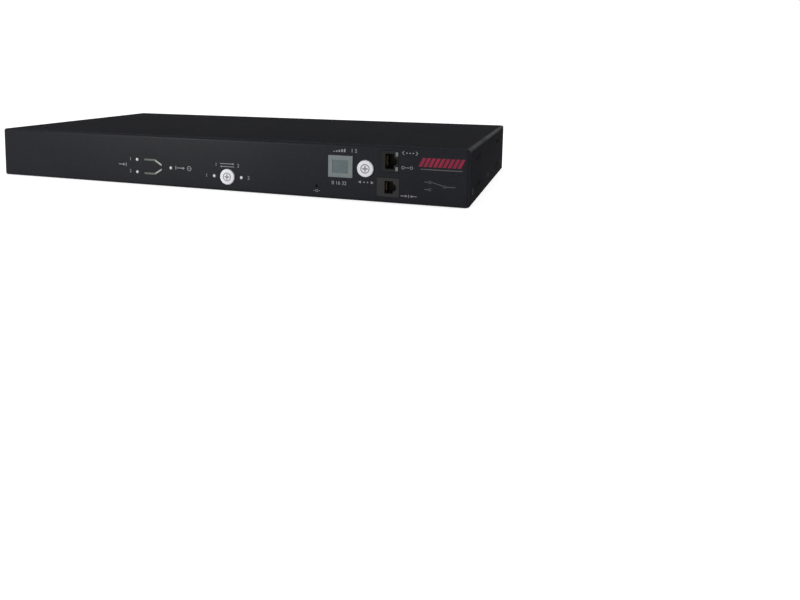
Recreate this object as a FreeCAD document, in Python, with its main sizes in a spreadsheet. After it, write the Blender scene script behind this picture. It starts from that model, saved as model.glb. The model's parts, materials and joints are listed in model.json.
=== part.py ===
import FreeCAD, Part
import math
import os
import re
import Sketcher

# Rack transfer switch, one rack unit high: a folded steel case with a flat control
# panel in front, mains inlets and outlets behind, and changeover relays inside.
# The origin is the centre of the underside. +X runs to the panel's right end, +Y runs
# to the back and +Z is up. Sizes are in millimetres. Panel places are measured from the
# middle of the panel (x) and from the underside (z).

SIZES = {
    # Folded case
    "width": 432,
    "depth": 236,
    "height": 43.7,
    "tray_sheet": 1.2,
    "cover_sheet": 1.0,
    "corner_radius": 2.0,
    "front_lip": 4.0,
    "cover_seam": 0.3,
    "fold_gap": 0.15,
    "front_flange": 14,
    "rear_flange": 12,
    # Holes for the rack brackets, the same pattern near both ends of each side
    "bracket_setback": 50.5,
    "bracket_pitch_y": 15,
    "bracket_pitch_z": 22,
    "bracket_hole_radius": 2.25,
    "bracket_thread_radius": 2.0,
    "bracket_nut_radius": 3.4,
    "bracket_nut_depth": 2.6,
    # Cover screws
    "cover_screw_radius": 1.5,
    "cover_screw_gap": 0.1,
    "cover_screw_length": 6,
    "cover_head_radius": 2.7,
    "cover_head_depth": 0.9,
    "side_screw_height": 9,
    "side_screw_setback": 24,
    "top_screw_pitch": 180,
    # Control board behind the panel
    "board_sheet": 1.6,
    "board_setback": 12,
    "board_left": -86,
    "board_right": 172,
    "board_bottom": 3.4,
    "board_top_gap": 3.3,
    "board_screw_inset": 4,
    "board_middle_screw_x": 61,
    "standoff_radius": 2.6,
    "board_screw_radius": 1.25,
    "board_screw_length": 5.6,
    "board_screw_bore": 6,
    "board_screw_head_radius": 2.3,
    "board_screw_head_height": 1.7,
    # Push buttons
    "button_radius": 6.5,
    "button_gap": 0.3,
    "button_proud": 1.5,
    "button_edge": 0.5,
    "button_collar": 1.2,
    "button_collar_width": 1.2,
    "button_stem_radius": 2.2,
    "preference_button_x": 18.9,
    "preference_button_z": 12.0,
    "select_button_x": 137.4,
    "select_button_z": 25.6,
    "reset_x": 97.6,
    "reset_z": 9.6,
    "reset_hole_radius": 1.1,
    "reset_setback": 1.6,
    "switch_size": 6.0,
    "switch_height": 4.0,
    "plunger_radius": 1.75,
    "plunger_gap": 0.05,
    "plunger_proud": 1.6,
    "plunger_depth": 1.4,
    "plunger_well": 3.0,
    # Indicator lamps
    "lamp_radius": 1.5,
    "lamp_gap": 0.1,
    "lamp_proud": 0.7,
    "lamp_length": 4.4,
    "lamp_rim": 0.4,
    "lamp_rim_height": 1.0,
    "spacer_radius": 2.2,
    "input_lamp_x": -69.1,
    "input_lamp_high_z": 21.9,
    "input_lamp_low_z": 11.0,
    "output_lamp_x": -35.4,
    "output_lamp_z": 16.3,
    "preference_lamp_left_x": 6.4,
    "preference_lamp_right_x": 31.4,
    "preference_lamp_z": 12.0,
    # Light bars that lead from the two inputs to the output
    "bar_start_x": -61.6,
    "bar_bend_x": -51.2,
    "bar_tip_x": -44.4,
    "bar_rise": 6.0,
    "bar_tip_rise": 1.9,
    "bar_thickness": 1.5,
    "bar_gap": 0.1,
    "bar_proud": 0.15,
    # Two-digit display
    "display_x": 117.2,
    "display_z": 26.2,
    "display_width": 20.0,
    "display_height": 17.4,
    "display_proud": 0.8,
    "display_rim": 3.5,
    "display_rim_overlap": 1.5,
    "display_neck_depth": 3,
    "display_gap": 0.1,
    "window_sheet": 1.0,
    "window_sink": 0.4,
    "digit_gap": 0.5,
    # Network and serial jacks, turned so that the latch faces the panel's right end
    "jack_proud": 0.3,
    "jack_gap": 0.15,
    "port_depth": 11.5,
    "network_x": 156.4,
    "network_z": 32.2,
    "network_width": 13.8,
    "network_height": 16.6,
    "network_port_x": 0.1,
    "network_port_width": 6.9,
    "network_port_height": 11.9,
    "serial_x": 155.5,
    "serial_z": 12.1,
    "serial_width": 17.8,
    "serial_height": 14.8,
    "serial_port_x": 0.6,
    "serial_port_width": 6.8,
    "serial_port_height": 9.8,
    "latch_step": 1.4,
    "latch_narrow": 5.6,
    "latch_tip": 1.0,
    "latch_tip_width": 3.6,
    "contact_pitch": 1.02,
    "contact_width": 0.46,
    "contact_height": 0.9,
    "contact_length": 6.5,
    "jack_lamp_width": 1.9,
    "jack_lamp_height": 3.0,
    "jack_lamp_depth": 3.0,
    "jack_lamp_spacing": 11.3,
    "jack_lamp_inset": 0.35,
    # Rear row of inlets, breakers and outlets
    "rear_row_drop": 0.65,
    "insert_gap": 0.15,
    "flange_thickness": 1.6,
    "outlet_pitch": 26,
    "outlet_count": 4,
    "outlet_margin": 2,
    "outlet_flange_height": 35,
    "outlet_body_height": 30,
    "outlet_body_margin": 0.6,
    "outlet_depth": 24,
    "outlet_recess_width": 17.4,
    "outlet_recess_height": 25.2,
    "outlet_core_width": 13.6,
    "outlet_core_height": 21.4,
    "outlet_recess_depth": 17,
    "outlet_corner": 3.6,
    "core_corner": 2.6,
    "outlet_slot_long": 4.8,
    "outlet_slot_short": 2.6,
    "outlet_slot_pitch": 7,
    "outlet_slot_offset": 2,
    "outlet_slot_depth": 14,
    "clip_length": 3,
    "outlet_bank_low_x": -20,
    "outlet_bank_high_x": 90,
    "large_flange_width": 29,
    "large_flange_height": 38,
    "large_body_margin": 2.4,
    "large_outlet_setback": 53,
    "large_recess_width": 21.4,
    "large_recess_height": 31.2,
    "large_core_width": 17.4,
    "large_core_height": 27.2,
    "large_slot_long": 8.8,
    "large_slot_short": 2.8,
    "large_slot_pitch": 6.5,
    "large_slot_offset": 4,
    "inlet_setback": 22,
    "inlet_pitch": 34,
    "inlet_depth": 26,
    "inlet_recess_depth": 20,
    "pin_long": 8,
    "pin_short": 2,
    "pin_length": 17,
    "pin_tab_length": 7,
    # Push-to-reset breakers, one above the other
    "breaker_setback": 94,
    "breaker_spacing": 18,
    "breaker_size": 15,
    "breaker_depth": 30,
    "breaker_neck_radius": 4.7,
    "breaker_neck_length": 4.8,
    "breaker_hole_gap": 0.15,
    "breaker_button_radius": 3.0,
    "breaker_button_gap": 0.08,
    "breaker_button_proud": 2.2,
    "breaker_button_depth": 5.0,
    "breaker_well": 12,
    "breaker_nut_width": 14,
    "breaker_nut_height": 2.4,
    "breaker_travel": 4.0,
    # Earth stud
    "stud_setback": 22,
    "stud_radius": 2.0,
    "stud_length": 5.6,
    "stud_head_height": 2.5,
    "stud_nut_width": 7,
    "stud_nut_height": 3.2,
    "thread_gap": 0.02,
    # Power board on the floor of the tray
    "power_side_gap": 20,
    "power_front_gap": 30,
    "power_back_gap": 44,
    "power_clearance": 6,
    "insulator_sheet": 0.4,
    "insulator_margin": 4,
    "insulator_hole_gap": 1.2,
    "power_screw_inset": 8,
    "power_screw_back_inset": 24,
    "standoff_hex_width": 6,
    "power_screw_radius": 1.5,
    "power_screw_length": 4,
    "power_screw_bore": 4,
    # Parts on the power board
    "relay_count": 4,
    "relay_length": 32,
    "relay_width": 27,
    "relay_height": 20,
    "relay_pitch": 44,
    "relay_row_shift": -1,
    "transformer_length": 44,
    "transformer_width": 36,
    "transformer_height": 27,
    "transformer_low_inset": 46,
    "transformer_high_inset": 44,
    "transformer_front_inset": 36,
    "capacitor_count": 4,
    "capacitor_radius": 8,
    "capacitor_height": 25,
    "capacitor_pitch": 19,
    "capacitor_front_inset": 28,
    "capacitor_row_x": -60,
    "fuse_count": 2,
    "fuse_radius": 2.5,
    "fuse_length": 20,
    "fuse_cap_length": 5,
    "fuse_cap_rim": 0.1,
    "fuse_pitch": 12,
    "fuse_inset": 20,
    "fuse_shift": 13,
    "fuse_lift": 4.4,
    "fuse_clip_width": 7,
    "fuse_clip_length": 4,
    "sensor_radius": 13,
    "sensor_bore_radius": 5,
    "sensor_length": 12,
    "sensor_x": 40,
    "sensor_back_inset": 24,
    "sensor_foot": 3,
    "sensor_foot_width": 18,
    "terminal_pitch": 8.8,
    "terminal_shift": 8,
    "block_depth": 13,
    "block_height": 12,
    "block_back_gap": 4,
    "block_screw_radius": 2.6,
    "block_screw_height": 1.4,
    "block_hole_depth": 5,
    "wire_end_gap": 1,
    "wire_radius": 1.5,
    "wire_gap": 0.1,
    "ribbon_width": 25,
    "ribbon_sheet": 0.9,
    "ribbon_x": 60,
    "ribbon_height_z": 27,
    "plug_width": 30,
    "plug_height": 6,
    "plug_depth": 5,
    "ribbon_landing": 18,
    "processor_count": 3,
    "processor_size": 14,
    "processor_height": 1.5,
    "processor_x": -30,
    "processor_pitch": 24,
    "processor_z": 22,
}

doc = FreeCAD.newDocument("transfer_switch")
sheet = doc.addObject("Spreadsheet::Sheet", "Sizes")
for row, (word, number) in enumerate(SIZES.items(), start=1):
    sheet.set(f"A{row}", word)
    sheet.set(f"B{row}", str(number))
    sheet.setAlias(f"B{row}", word)
doc.recompute()

# Longest mismatch between two places that are meant to be the same
SAME_PLACE = 1e-4
pieces = []


# Binding and placing

def formula(text):
    """The text of a formula, with each named size read from the sheet."""
    def cell(found):
        return f"Sizes.{found.group()}" if found.group() in SIZES else found.group()
    return re.sub(r"[a-z]\w*", cell, str(text))


def bind(item, **formulas):
    for name, text in formulas.items():
        item.setExpression(name, formula(text))
    return item


def place(item, x, y, z):
    for axis, text in zip("xyz", (x, y, z)):
        item.setExpression(f"Placement.Base.{axis}", formula(text))
    return item


def finish(label, item):
    """Name a finished piece of the assembly and keep it for writing."""
    item.Label = label
    pieces.append(item)
    return item


def around(centre, size):
    """A span of the given size about its centre."""
    return (f"{centre} - ({size})/2", f"{centre} + ({size})/2")


def across(side, inner, outer):
    """A span between two distances from the middle, on the right (1) or the left (-1)."""
    return (inner, outer) if side > 0 else (f"-({outer})", f"-({inner})")


def length(span):
    return f"({span[1]}) - ({span[0]})"


def worked_out(text):
    """The number that a formula gives."""
    return float(sheet.evalExpression(formula(text)))


# Solids

ALONG = {
    "x": FreeCAD.Rotation(FreeCAD.Vector(0, 1, 0), 90),
    "y": FreeCAD.Rotation(FreeCAD.Vector(1, 0, 0), -90),
    "z": FreeCAD.Rotation(),
}


def block(name, x, y, z):
    """A box that fills the three spans."""
    item = doc.addObject("Part::Box", name)
    bind(item, Length=length(x), Width=length(y), Height=length(z))
    return place(item, x[0], y[0], z[0])


def stand(item, along, start, centre):
    """Turn a round solid to an axis and set its near end on it."""
    item.Placement = FreeCAD.Placement(FreeCAD.Vector(), ALONG[along])
    spot = list(centre)
    spot.insert("xyz".index(along), start)
    return place(item, *spot)


def rod(name, along, span, radius, centre):
    """A cylinder; centre holds its two other coordinates in x, y, z order."""
    item = doc.addObject("Part::Cylinder", name)
    bind(item, Radius=radius, Height=length(span))
    return stand(item, along, span[0], centre)


def cone(name, along, span, near_radius, far_radius, centre):
    item = doc.addObject("Part::Cone", name)
    bind(item, Radius1=near_radius, Radius2=far_radius, Height=length(span))
    return stand(item, along, span[0], centre)


def hexagon(name, along, span, flats, centre):
    item = doc.addObject("Part::Prism", name)
    item.Polygon = 6
    bind(item, Circumradius=f"({flats})/2/cos(30)", Height=length(span))
    return stand(item, along, span[0], centre)


def fuse(name, *items):
    item = doc.addObject("Part::MultiFuse", name)
    item.Shapes = list(items)
    return item


def cut(name, base, *tools):
    item = doc.addObject("Part::Cut", name)
    item.Base = base
    item.Tool = tools[0] if len(tools) == 1 else fuse(f"{name}_tools", *tools)
    return item


def group(name, items):
    item = doc.addObject("Part::Compound", name)
    item.Links = list(items)
    return item


def rounded(name, base, radius, chosen):
    """Round the edges of a solid whose bounding boxes the test accepts."""
    base.recompute()
    item = doc.addObject("Part::Fillet", name)
    item.Base = base
    item.Edges = [(number, radius, radius) for number, edge in enumerate(base.Shape.Edges, 1)
                  if chosen(edge.BoundBox)]
    return item


def cornered(name, base, size, chosen):
    """Cut the chosen edges of a solid off at 45 degrees."""
    base.recompute()
    item = doc.addObject("Part::Chamfer", name)
    item.Base = base
    item.Edges = [(number, size, size) for number, edge in enumerate(base.Shape.Edges, 1)
                  if chosen(edge.BoundBox)]
    return item


def origin_plane(body, role):
    return next(plane for plane in body.Origin.OriginFeatures if plane.Role == role)


def outlined(body, name, role, corners):
    """A closed sketch on one of the body's own planes, with every corner bound to the sheet."""
    sketch = body.newObject("Sketcher::SketchObject", name)
    sketch.AttachmentSupport = [(origin_plane(body, role), "")]
    sketch.MapMode = "FlatFace"
    count = len(corners)
    turn = 2 * math.pi / count
    spots = [FreeCAD.Vector(math.cos(turn * step), math.sin(turn * step)) for step in range(count)]
    for step in range(count):
        sketch.addGeometry(Part.LineSegment(spots[step], spots[(step + 1) % count]), False)
    for step in range(count):
        sketch.addConstraint(Sketcher.Constraint("Coincident", step, 2, (step + 1) % count, 1))
    for step, corner in enumerate(corners):
        for kind, text in zip(("DistanceX", "DistanceY"), corner):
            start = spots[step].x if kind == "DistanceX" else spots[step].y
            number = sketch.addConstraint(Sketcher.Constraint(kind, -1, 1, step, 1, start))
            sketch.setExpression(f"Constraints[{number}]", formula(text))
    return sketch


def turned(name, profile, x, z):
    """A body of revolution along Y from (radius, y) corners, standing at x and z."""
    body = doc.addObject("PartDesign::Body", name)
    sketch = outlined(body, f"{name}_profile", "XY_Plane", profile)
    spun = body.newObject("PartDesign::Revolution", f"{name}_turn")
    spun.Profile = sketch
    spun.ReferenceAxis = (sketch, ["V_Axis"])
    spun.Angle = 360
    return place(body, x, 0, z)


# Places that several pieces share

FRONT = "-depth/2"
REAR = "depth/2"
PANEL_BACK = f"{FRONT} + tray_sheet"
REAR_INSIDE = f"{REAR} - tray_sheet"
TUCK = "cover_sheet + fold_gap"
TUCK_X = f"width/2 - ({TUCK})"
TUCK_TOP = f"height - ({TUCK})"
COVER_FRONT = f"{FRONT} + front_lip + cover_seam"
BOARD_FRONT = f"{PANEL_BACK} + board_setback"
BOARD_BACK = f"{BOARD_FRONT} + board_sheet"
POWER_BOTTOM = "tray_sheet + power_clearance"
POWER_TOP = f"{POWER_BOTTOM} + board_sheet"
BOARD_TOP = "height - board_top_gap"
POWER_LEFT = "power_side_gap - width/2"
POWER_RIGHT = "width/2 - power_side_gap"
POWER_FRONT = f"{FRONT} + power_front_gap"
POWER_BACK = f"{REAR} - power_back_gap"
POWER_MIDDLE = f"({POWER_FRONT} + {POWER_BACK})/2"
ROW_Z = "height/2 - rear_row_drop"
LARGE_OUTLET_X = "width/2 - large_outlet_setback"
BREAKER_X = "breaker_setback - width/2"
STUD_X = "width/2 - stud_setback"

# How far a cutting tool stands past what it cuts
PAST = "1"

half_width = SIZES["width"] / 2
half_depth = SIZES["depth"] / 2
tuck = SIZES["cover_sheet"] + SIZES["fold_gap"]
outer_bend = SIZES["corner_radius"]
inner_bend = outer_bend - SIZES["tray_sheet"]
cover_inner_bend = outer_bend - SIZES["cover_sheet"]


# Folded tray: front panel, floor, side walls and rear wall in one sheet

def in_front_pan(inset):
    """Edges of the front pan's face, and its four corner edges that run back."""
    face = inset - half_depth
    return lambda box: box.YMax < face + SAME_PLACE or box.YLength > box.XLength + box.ZLength


def behind_the_pan(box):
    """The four long edges of the tray behind the pan, and the upright ones at its rear."""
    long_edge = box.YLength > box.XLength + box.ZLength
    rear_edge = box.YLength < SAME_PLACE and box.YMin > half_depth / 2 and box.ZLength > SAME_PLACE
    return long_edge or rear_edge


def tray_shell():
    sheet_in = "tray_sheet"
    pan_outer = block("pan_outer", around("0", "width"), (FRONT, f"{FRONT} + front_lip"), ("0", "height"))
    pan_inner = block("pan_inner", around("0", f"width - 2*{sheet_in}"),
                      (PANEL_BACK, f"{FRONT} + front_lip + {PAST}"), (sheet_in, f"height - {sheet_in}"))
    pan = cut("pan", rounded("pan_bent", pan_outer, outer_bend, in_front_pan(0)),
              rounded("pan_hollow", pan_inner, inner_bend, in_front_pan(SIZES["tray_sheet"])))

    # The lip steps in behind the panel, so that the cover lies flush with it
    step_y = (f"{FRONT} + front_lip - {sheet_in}", f"{FRONT} + front_lip")
    step_block = block("lip_step_block", around("0", "width"), step_y, ("0", "height"))
    step_ring = rounded("lip_step_ring", step_block, outer_bend, lambda box: box.YLength > SAME_PLACE)

    tucked_y = (f"{FRONT} + front_lip - {sheet_in}", REAR)
    tucked_outer = block("tuck_outer", (f"-({TUCK_X})", TUCK_X), tucked_y, ("0", TUCK_TOP))
    tucked_inner = block("tuck_inner", (f"-({TUCK_X}) + {sheet_in}", f"{TUCK_X} - {sheet_in}"),
                         (f"{FRONT} + front_lip - 2*{sheet_in}", REAR_INSIDE),
                         (sheet_in, f"{TUCK_TOP} - {sheet_in}"))
    open_top = block("tuck_open_top", (f"-({TUCK_X}) + {sheet_in}", f"{TUCK_X} - {sheet_in}"),
                     (f"{FRONT} + front_flange", f"{REAR} - rear_flange"),
                     (f"{TUCK_TOP} - 2*{sheet_in}", f"{TUCK_TOP} + {PAST}"))
    hollow = rounded("tuck_hollow", tucked_inner, inner_bend, behind_the_pan)
    bent = rounded("tuck_bent", tucked_outer, outer_bend, behind_the_pan)
    return cut("tray_blank", fuse("tray_joined", pan, step_ring, bent), hollow, open_top)


def panel_round(name, radius, x, z):
    return rod(name, "y", (f"{FRONT} - {PAST}", f"{PANEL_BACK} + {PAST}"), radius, (x, z))


def panel_slot(name, x, z):
    return block(name, x, (f"{FRONT} - {PAST}", f"{PANEL_BACK} + {PAST}"), z)


def rear_slot(name, x, z):
    return block(name, x, (f"{REAR_INSIDE} - {PAST}", f"{REAR} + {PAST}"), z)


BUTTON_PLACES = {
    "preference": ("preference_button_x", "preference_button_z"),
    "select": ("select_button_x", "select_button_z"),
}
RESET_PLACE = ("reset_x", "reset_z")
LAMP_PLACES = {
    "input": [("input_lamp_x", "input_lamp_high_z"), ("input_lamp_x", "input_lamp_low_z")],
    "output": [("output_lamp_x", "output_lamp_z")],
    "preference": [("preference_lamp_left_x", "preference_lamp_z"),
                   ("preference_lamp_right_x", "preference_lamp_z")],
}
BANKS = {"outlet_bank_1": "outlet_bank_low_x", "outlet_bank_2": "outlet_bank_high_x"}
INLETS = {"a": "inlet_setback - width/2", "b": "inlet_setback + inlet_pitch - width/2"}
BREAKERS = {"1": f"{ROW_Z} - breaker_spacing/2", "2": f"{ROW_Z} + breaker_spacing/2"}
BRACKET_Y = [f"{FRONT} + bracket_setback", f"{REAR} - bracket_setback"]


def bracket_spots():
    """Centres (y, z) of the eight bracket holes in one side."""
    return [(f"{centre} + ({side_y})*bracket_pitch_y/2", f"height/2 + ({side_z})*bracket_pitch_z/2")
            for centre in BRACKET_Y for side_y in (-1, 1) for side_z in (-1, 1)]


def side_screw_spots():
    """Centres (y, z) of the cover screws in one side."""
    return [(f"{FRONT} + side_screw_setback", "side_screw_height"), ("0", "side_screw_height"),
            (f"{REAR} - side_screw_setback", "side_screw_height")]


def top_screw_spots():
    """Centres (x, y) of the cover screws along the rear flange."""
    return [(f"({step})*top_screw_pitch", f"{REAR} - rear_flange/2") for step in (-1, 0, 1)]


def bar_solid(name, side, grow, start, stop):
    """A bar that runs level from an input lamp and then slants to the output lamp."""
    body = doc.addObject("PartDesign::Body", name)
    half = f"(bar_thickness/2 + ({grow}))"
    level = f"output_lamp_z + ({side})*bar_rise"
    tip = f"output_lamp_z + ({side})*bar_tip_rise"
    corners = [
        (f"bar_start_x - ({grow})", f"{level} + ({side})*{half}"),
        (f"bar_start_x - ({grow})", f"{level} - ({side})*{half}"),
        (f"bar_bend_x - ({grow})", f"{level} - ({side})*{half}"),
        (f"bar_tip_x + ({grow})", f"{tip} - ({side})*{half}"),
        (f"bar_tip_x + ({grow})", f"{tip} + ({side})*{half}"),
        (f"bar_bend_x + ({grow})", f"{level} + ({side})*{half}"),
    ]
    pad = body.newObject("PartDesign::Pad", f"{name}_pad")
    pad.Profile = outlined(body, f"{name}_outline", "XZ_Plane", corners)
    pad.Reversed = True
    bind(pad, Length=length((start, stop)))
    return place(body, "0", start, "0")


def chassis_tray():
    openings = [panel_round("button_hole", "button_radius + button_gap", *spot)
                for spot in BUTTON_PLACES.values()]
    openings.append(panel_round("reset_hole", "reset_hole_radius", *RESET_PLACE))
    for spots in LAMP_PLACES.values():
        openings += [panel_round("lamp_hole", "lamp_radius + lamp_gap", *spot) for spot in spots]
    for side in (1, -1):
        openings.append(bar_solid("bar_slot", side, "bar_gap", f"{FRONT} - {PAST}", f"{PANEL_BACK} + {PAST}"))
    neck = "2*display_rim_overlap - 2*display_gap"
    openings.append(panel_slot("display_hole", around("display_x", f"display_width - ({neck})"),
                               around("display_z", f"display_height - ({neck})")))
    for jack in ("network", "serial"):
        openings.append(panel_slot(f"{jack}_hole", around(f"{jack}_x", f"{jack}_width + 2*jack_gap"),
                                   around(f"{jack}_z", f"{jack}_height + 2*jack_gap")))
    for centre in BANKS.values():
        openings.append(rear_slot("bank_hole", around(centre, f"{BANK_BODY} + 2*insert_gap"),
                                  around(ROW_Z, "outlet_body_height + 2*insert_gap")))
    for centre in (*INLETS.values(), LARGE_OUTLET_X):
        openings.append(rear_slot("insert_hole", around(centre, f"{LARGE_BODY_WIDTH} + 2*insert_gap"),
                                  around(ROW_Z, f"{LARGE_BODY_HEIGHT} + 2*insert_gap")))
    rear_cut = (f"{REAR_INSIDE} - {PAST}", f"{REAR} + {PAST}")
    for centre in BREAKERS.values():
        openings.append(rod("breaker_hole", "y", rear_cut, "breaker_neck_radius + breaker_hole_gap",
                            (BREAKER_X, centre)))
    openings.append(rod("stud_hole", "y", rear_cut, "stud_radius + thread_gap", (STUD_X, ROW_Z)))
    for side in (1, -1):
        wall = across(side, f"{TUCK_X} - tray_sheet - {PAST}", f"{TUCK_X} + {PAST}")
        for spot in bracket_spots():
            openings.append(rod("nut_seat", "x", wall, "bracket_nut_radius + thread_gap", spot))
        for spot in side_screw_spots():
            openings.append(rod("side_thread", "x", wall, "cover_screw_radius + thread_gap", spot))
    for spot in top_screw_spots():
        openings.append(rod("top_thread", "z", (f"{TUCK_TOP} - tray_sheet - {PAST}", f"{TUCK_TOP} + {PAST}"),
                            "cover_screw_radius + thread_gap", spot))
    return finish("chassis_tray", cut("tray", tray_shell(), *openings))


# Cover: one sheet folded down over both sides

def top_cover():
    body = doc.addObject("PartDesign::Body", "cover_body")
    outside = "width/2"
    inside = "width/2 - cover_sheet"
    corners = [(f"-({outside})", "0"), (f"-({outside})", "height"), (outside, "height"), (outside, "0"),
               (inside, "0"), (inside, "height - cover_sheet"), (f"-({inside})", "height - cover_sheet"),
               (f"-({inside})", "0")]
    profile = outlined(body, "cover_section", "XZ_Plane", corners)
    sheet_pad = body.newObject("PartDesign::Pad", "cover_sheet_pad")
    sheet_pad.Profile = profile
    sheet_pad.Reversed = True
    bind(sheet_pad, Length=length((COVER_FRONT, REAR)))
    doc.recompute()
    top = SIZES["height"]
    bends = (("cover_outer_bend", half_width, top, "corner_radius"),
             ("cover_inner_bend", half_width - SIZES["cover_sheet"], top - SIZES["cover_sheet"],
              "corner_radius - cover_sheet"))
    for name, side, level, radius in bends:
        last = body.Tip
        bend = body.newObject("PartDesign::Fillet", name)
        bend.Base = (last, [f"Edge{number}" for number, edge in enumerate(last.Shape.Edges, 1)
                            if edge.BoundBox.YLength > half_depth
                            and abs(abs(edge.BoundBox.XMin) - side) < SAME_PLACE
                            and abs(edge.BoundBox.ZMin - level) < SAME_PLACE])
        bind(bend, Radius=radius)
        doc.recompute()
    place(body, "0", COVER_FRONT, "0")

    holes = []
    through = f"width/2 + {PAST}"
    for spot in bracket_spots():
        holes.append(rod("bracket_hole", "x", (f"-({through})", through), "bracket_hole_radius", spot))
    for spot in side_screw_spots():
        holes.append(rod("side_screw_hole", "x", (f"-({through})", through), SCREW_HOLE, spot))
        holes += [side_cone("side_sink", side, SCREW_HOLE, SCREW_SINK, spot) for side in (1, -1)]
    for spot in top_screw_spots():
        holes.append(rod("top_screw_hole", "z", (f"height - cover_sheet - {PAST}", f"height + {PAST}"),
                         SCREW_HOLE, spot))
        holes.append(cone("top_sink", "z", ("height - cover_head_depth", "height"), SCREW_HOLE,
                          SCREW_SINK, spot))
    return finish("top_cover", cut("cover", body, *holes))


SCREW_HOLE = "cover_screw_radius + cover_screw_gap"
SCREW_SINK = "cover_head_radius + cover_screw_gap"
BANK_BODY = "outlet_count*outlet_pitch - 2*outlet_body_margin"
LARGE_BODY_WIDTH = "large_flange_width - 2*large_body_margin"
LARGE_BODY_HEIGHT = "large_flange_height - 2*large_body_margin"


def side_cone(name, side, inner_radius, outer_radius, spot):
    """A countersink's cone, its wide end at the outer face of one side."""
    radii = (inner_radius, outer_radius) if side > 0 else (outer_radius, inner_radius)
    return cone(name, "x", across(side, "width/2 - cover_head_depth", "width/2"), *radii, spot)


def cover_screws():
    """Countersunk screws that hold the cover: three in each side and three behind."""
    screws = []
    for side in (1, -1):
        shank = across(side, "width/2 - cover_screw_length", "width/2 - cover_head_depth")
        for spot in side_screw_spots():
            head = side_cone("side_head", side, "cover_screw_radius", "cover_head_radius", spot)
            screws.append(fuse("side_screw", head, rod("side_shank", "x", shank, "cover_screw_radius", spot)))
    for spot in top_screw_spots():
        head = cone("top_head", "z", ("height - cover_head_depth", "height"), "cover_screw_radius",
                    "cover_head_radius", spot)
        shank = rod("top_shank", "z", ("height - cover_screw_length", "height - cover_head_depth"),
                    "cover_screw_radius", spot)
        screws.append(fuse("top_screw", head, shank))
    finish("cover_screws", group("cover_screw_set", screws))


def bracket_nuts():
    """Press nuts in the tray's walls, behind the cover's bracket holes."""
    nuts = []
    for side in (1, -1):
        span = across(side, f"{TUCK_X} - bracket_nut_depth", TUCK_X)
        bore = (f"{span[0]} - {PAST}", f"{span[1]} + {PAST}")
        for spot in bracket_spots():
            barrel = rod("nut_barrel", "x", span, "bracket_nut_radius", spot)
            nuts.append(cut("bracket_nut", barrel, rod("nut_thread", "x", bore,
                                                       "bracket_thread_radius", spot)))
    finish("bracket_nuts", group("bracket_nut_set", nuts))


# Control board and what it carries

def board_screw_spots():
    """Centres (x, z) of the control board's six screws."""
    columns = ("board_left + board_screw_inset", "board_middle_screw_x",
               "board_right - board_screw_inset")
    rows = ("board_bottom + board_screw_inset", f"{BOARD_TOP} - board_screw_inset")
    return [(column, level) for column in columns for level in rows]


def control_board():
    body = doc.addObject("PartDesign::Body", "control_board_body")
    corners = [("board_left", "board_bottom"), ("board_right", "board_bottom"),
               ("board_right", BOARD_TOP), ("board_left", BOARD_TOP)]
    pad = body.newObject("PartDesign::Pad", "control_board_pad")
    pad.Profile = outlined(body, "control_board_outline", "XZ_Plane", corners)
    pad.Reversed = True
    bind(pad, Length="board_sheet")
    place(body, "0", BOARD_FRONT, "0")
    holes = [rod("board_hole", "y", (f"{BOARD_FRONT} - {PAST}", f"{BOARD_BACK} + {PAST}"),
                 "board_screw_radius + thread_gap", spot) for spot in board_screw_spots()]
    finish("control_board", cut("control_board_cut", body, *holes))

    posts, screws = [], []
    for spot in board_screw_spots():
        post = rod("panel_post", "y", (PANEL_BACK, BOARD_FRONT), "standoff_radius", spot)
        bore = rod("panel_post_bore", "y", (f"{BOARD_FRONT} - board_screw_bore", f"{BOARD_FRONT} + {PAST}"),
                   "board_screw_radius + thread_gap", spot)
        posts.append(cut("control_standoff", post, bore))
        head = rod("board_head", "y", (BOARD_BACK, f"{BOARD_BACK} + board_screw_head_height"),
                   "board_screw_head_radius", spot)
        shank = rod("board_shank", "y", (f"{BOARD_BACK} - board_screw_length", BOARD_BACK),
                    "board_screw_radius", spot)
        screws.append(fuse("board_screw", head, shank))
    finish("control_board_standoffs", group("control_standoff_set", posts))
    finish("control_board_screws", group("control_screw_set", screws))


def control_chips():
    chips = []
    for step in range(SIZES["processor_count"]):
        chips.append(block("chip", around(f"processor_x + {step}*processor_pitch", "processor_size"),
                           (BOARD_BACK, f"{BOARD_BACK} + processor_height"),
                           around("processor_z", "processor_size")))
    finish("control_chips", group("chip_set", chips))


# Push buttons: a white cap with a stem that presses the switch on the board

def push_buttons():
    plunger_front = f"{BOARD_FRONT} - switch_height - plunger_proud"
    for name, (x, z) in BUTTON_PLACES.items():
        collar_front = f"{PANEL_BACK} + button_gap"
        collar_back = f"{collar_front} + button_collar"
        face = f"{FRONT} - button_proud"
        profile = [("0", face), ("button_radius - button_edge", face),
                   ("button_radius", f"{face} + button_edge"), ("button_radius", collar_front),
                   ("button_radius + button_collar_width", collar_front),
                   ("button_radius + button_collar_width", collar_back),
                   ("button_stem_radius", collar_back), ("button_stem_radius", plunger_front),
                   ("0", plunger_front)]
        finish(f"{name}_button", turned(f"{name}_cap", profile, x, z))
        finish(f"{name}_plunger", rod(f"{name}_pin", "y",
                                      (plunger_front, f"{BOARD_FRONT} - switch_height + plunger_depth"),
                                      "plunger_radius", (x, z)))
    finish("reset_plunger", rod("reset_pin", "y", (f"{PANEL_BACK} + reset_setback",
                                                   f"{BOARD_FRONT} - switch_height + plunger_depth"),
                                "plunger_radius", RESET_PLACE))


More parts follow.
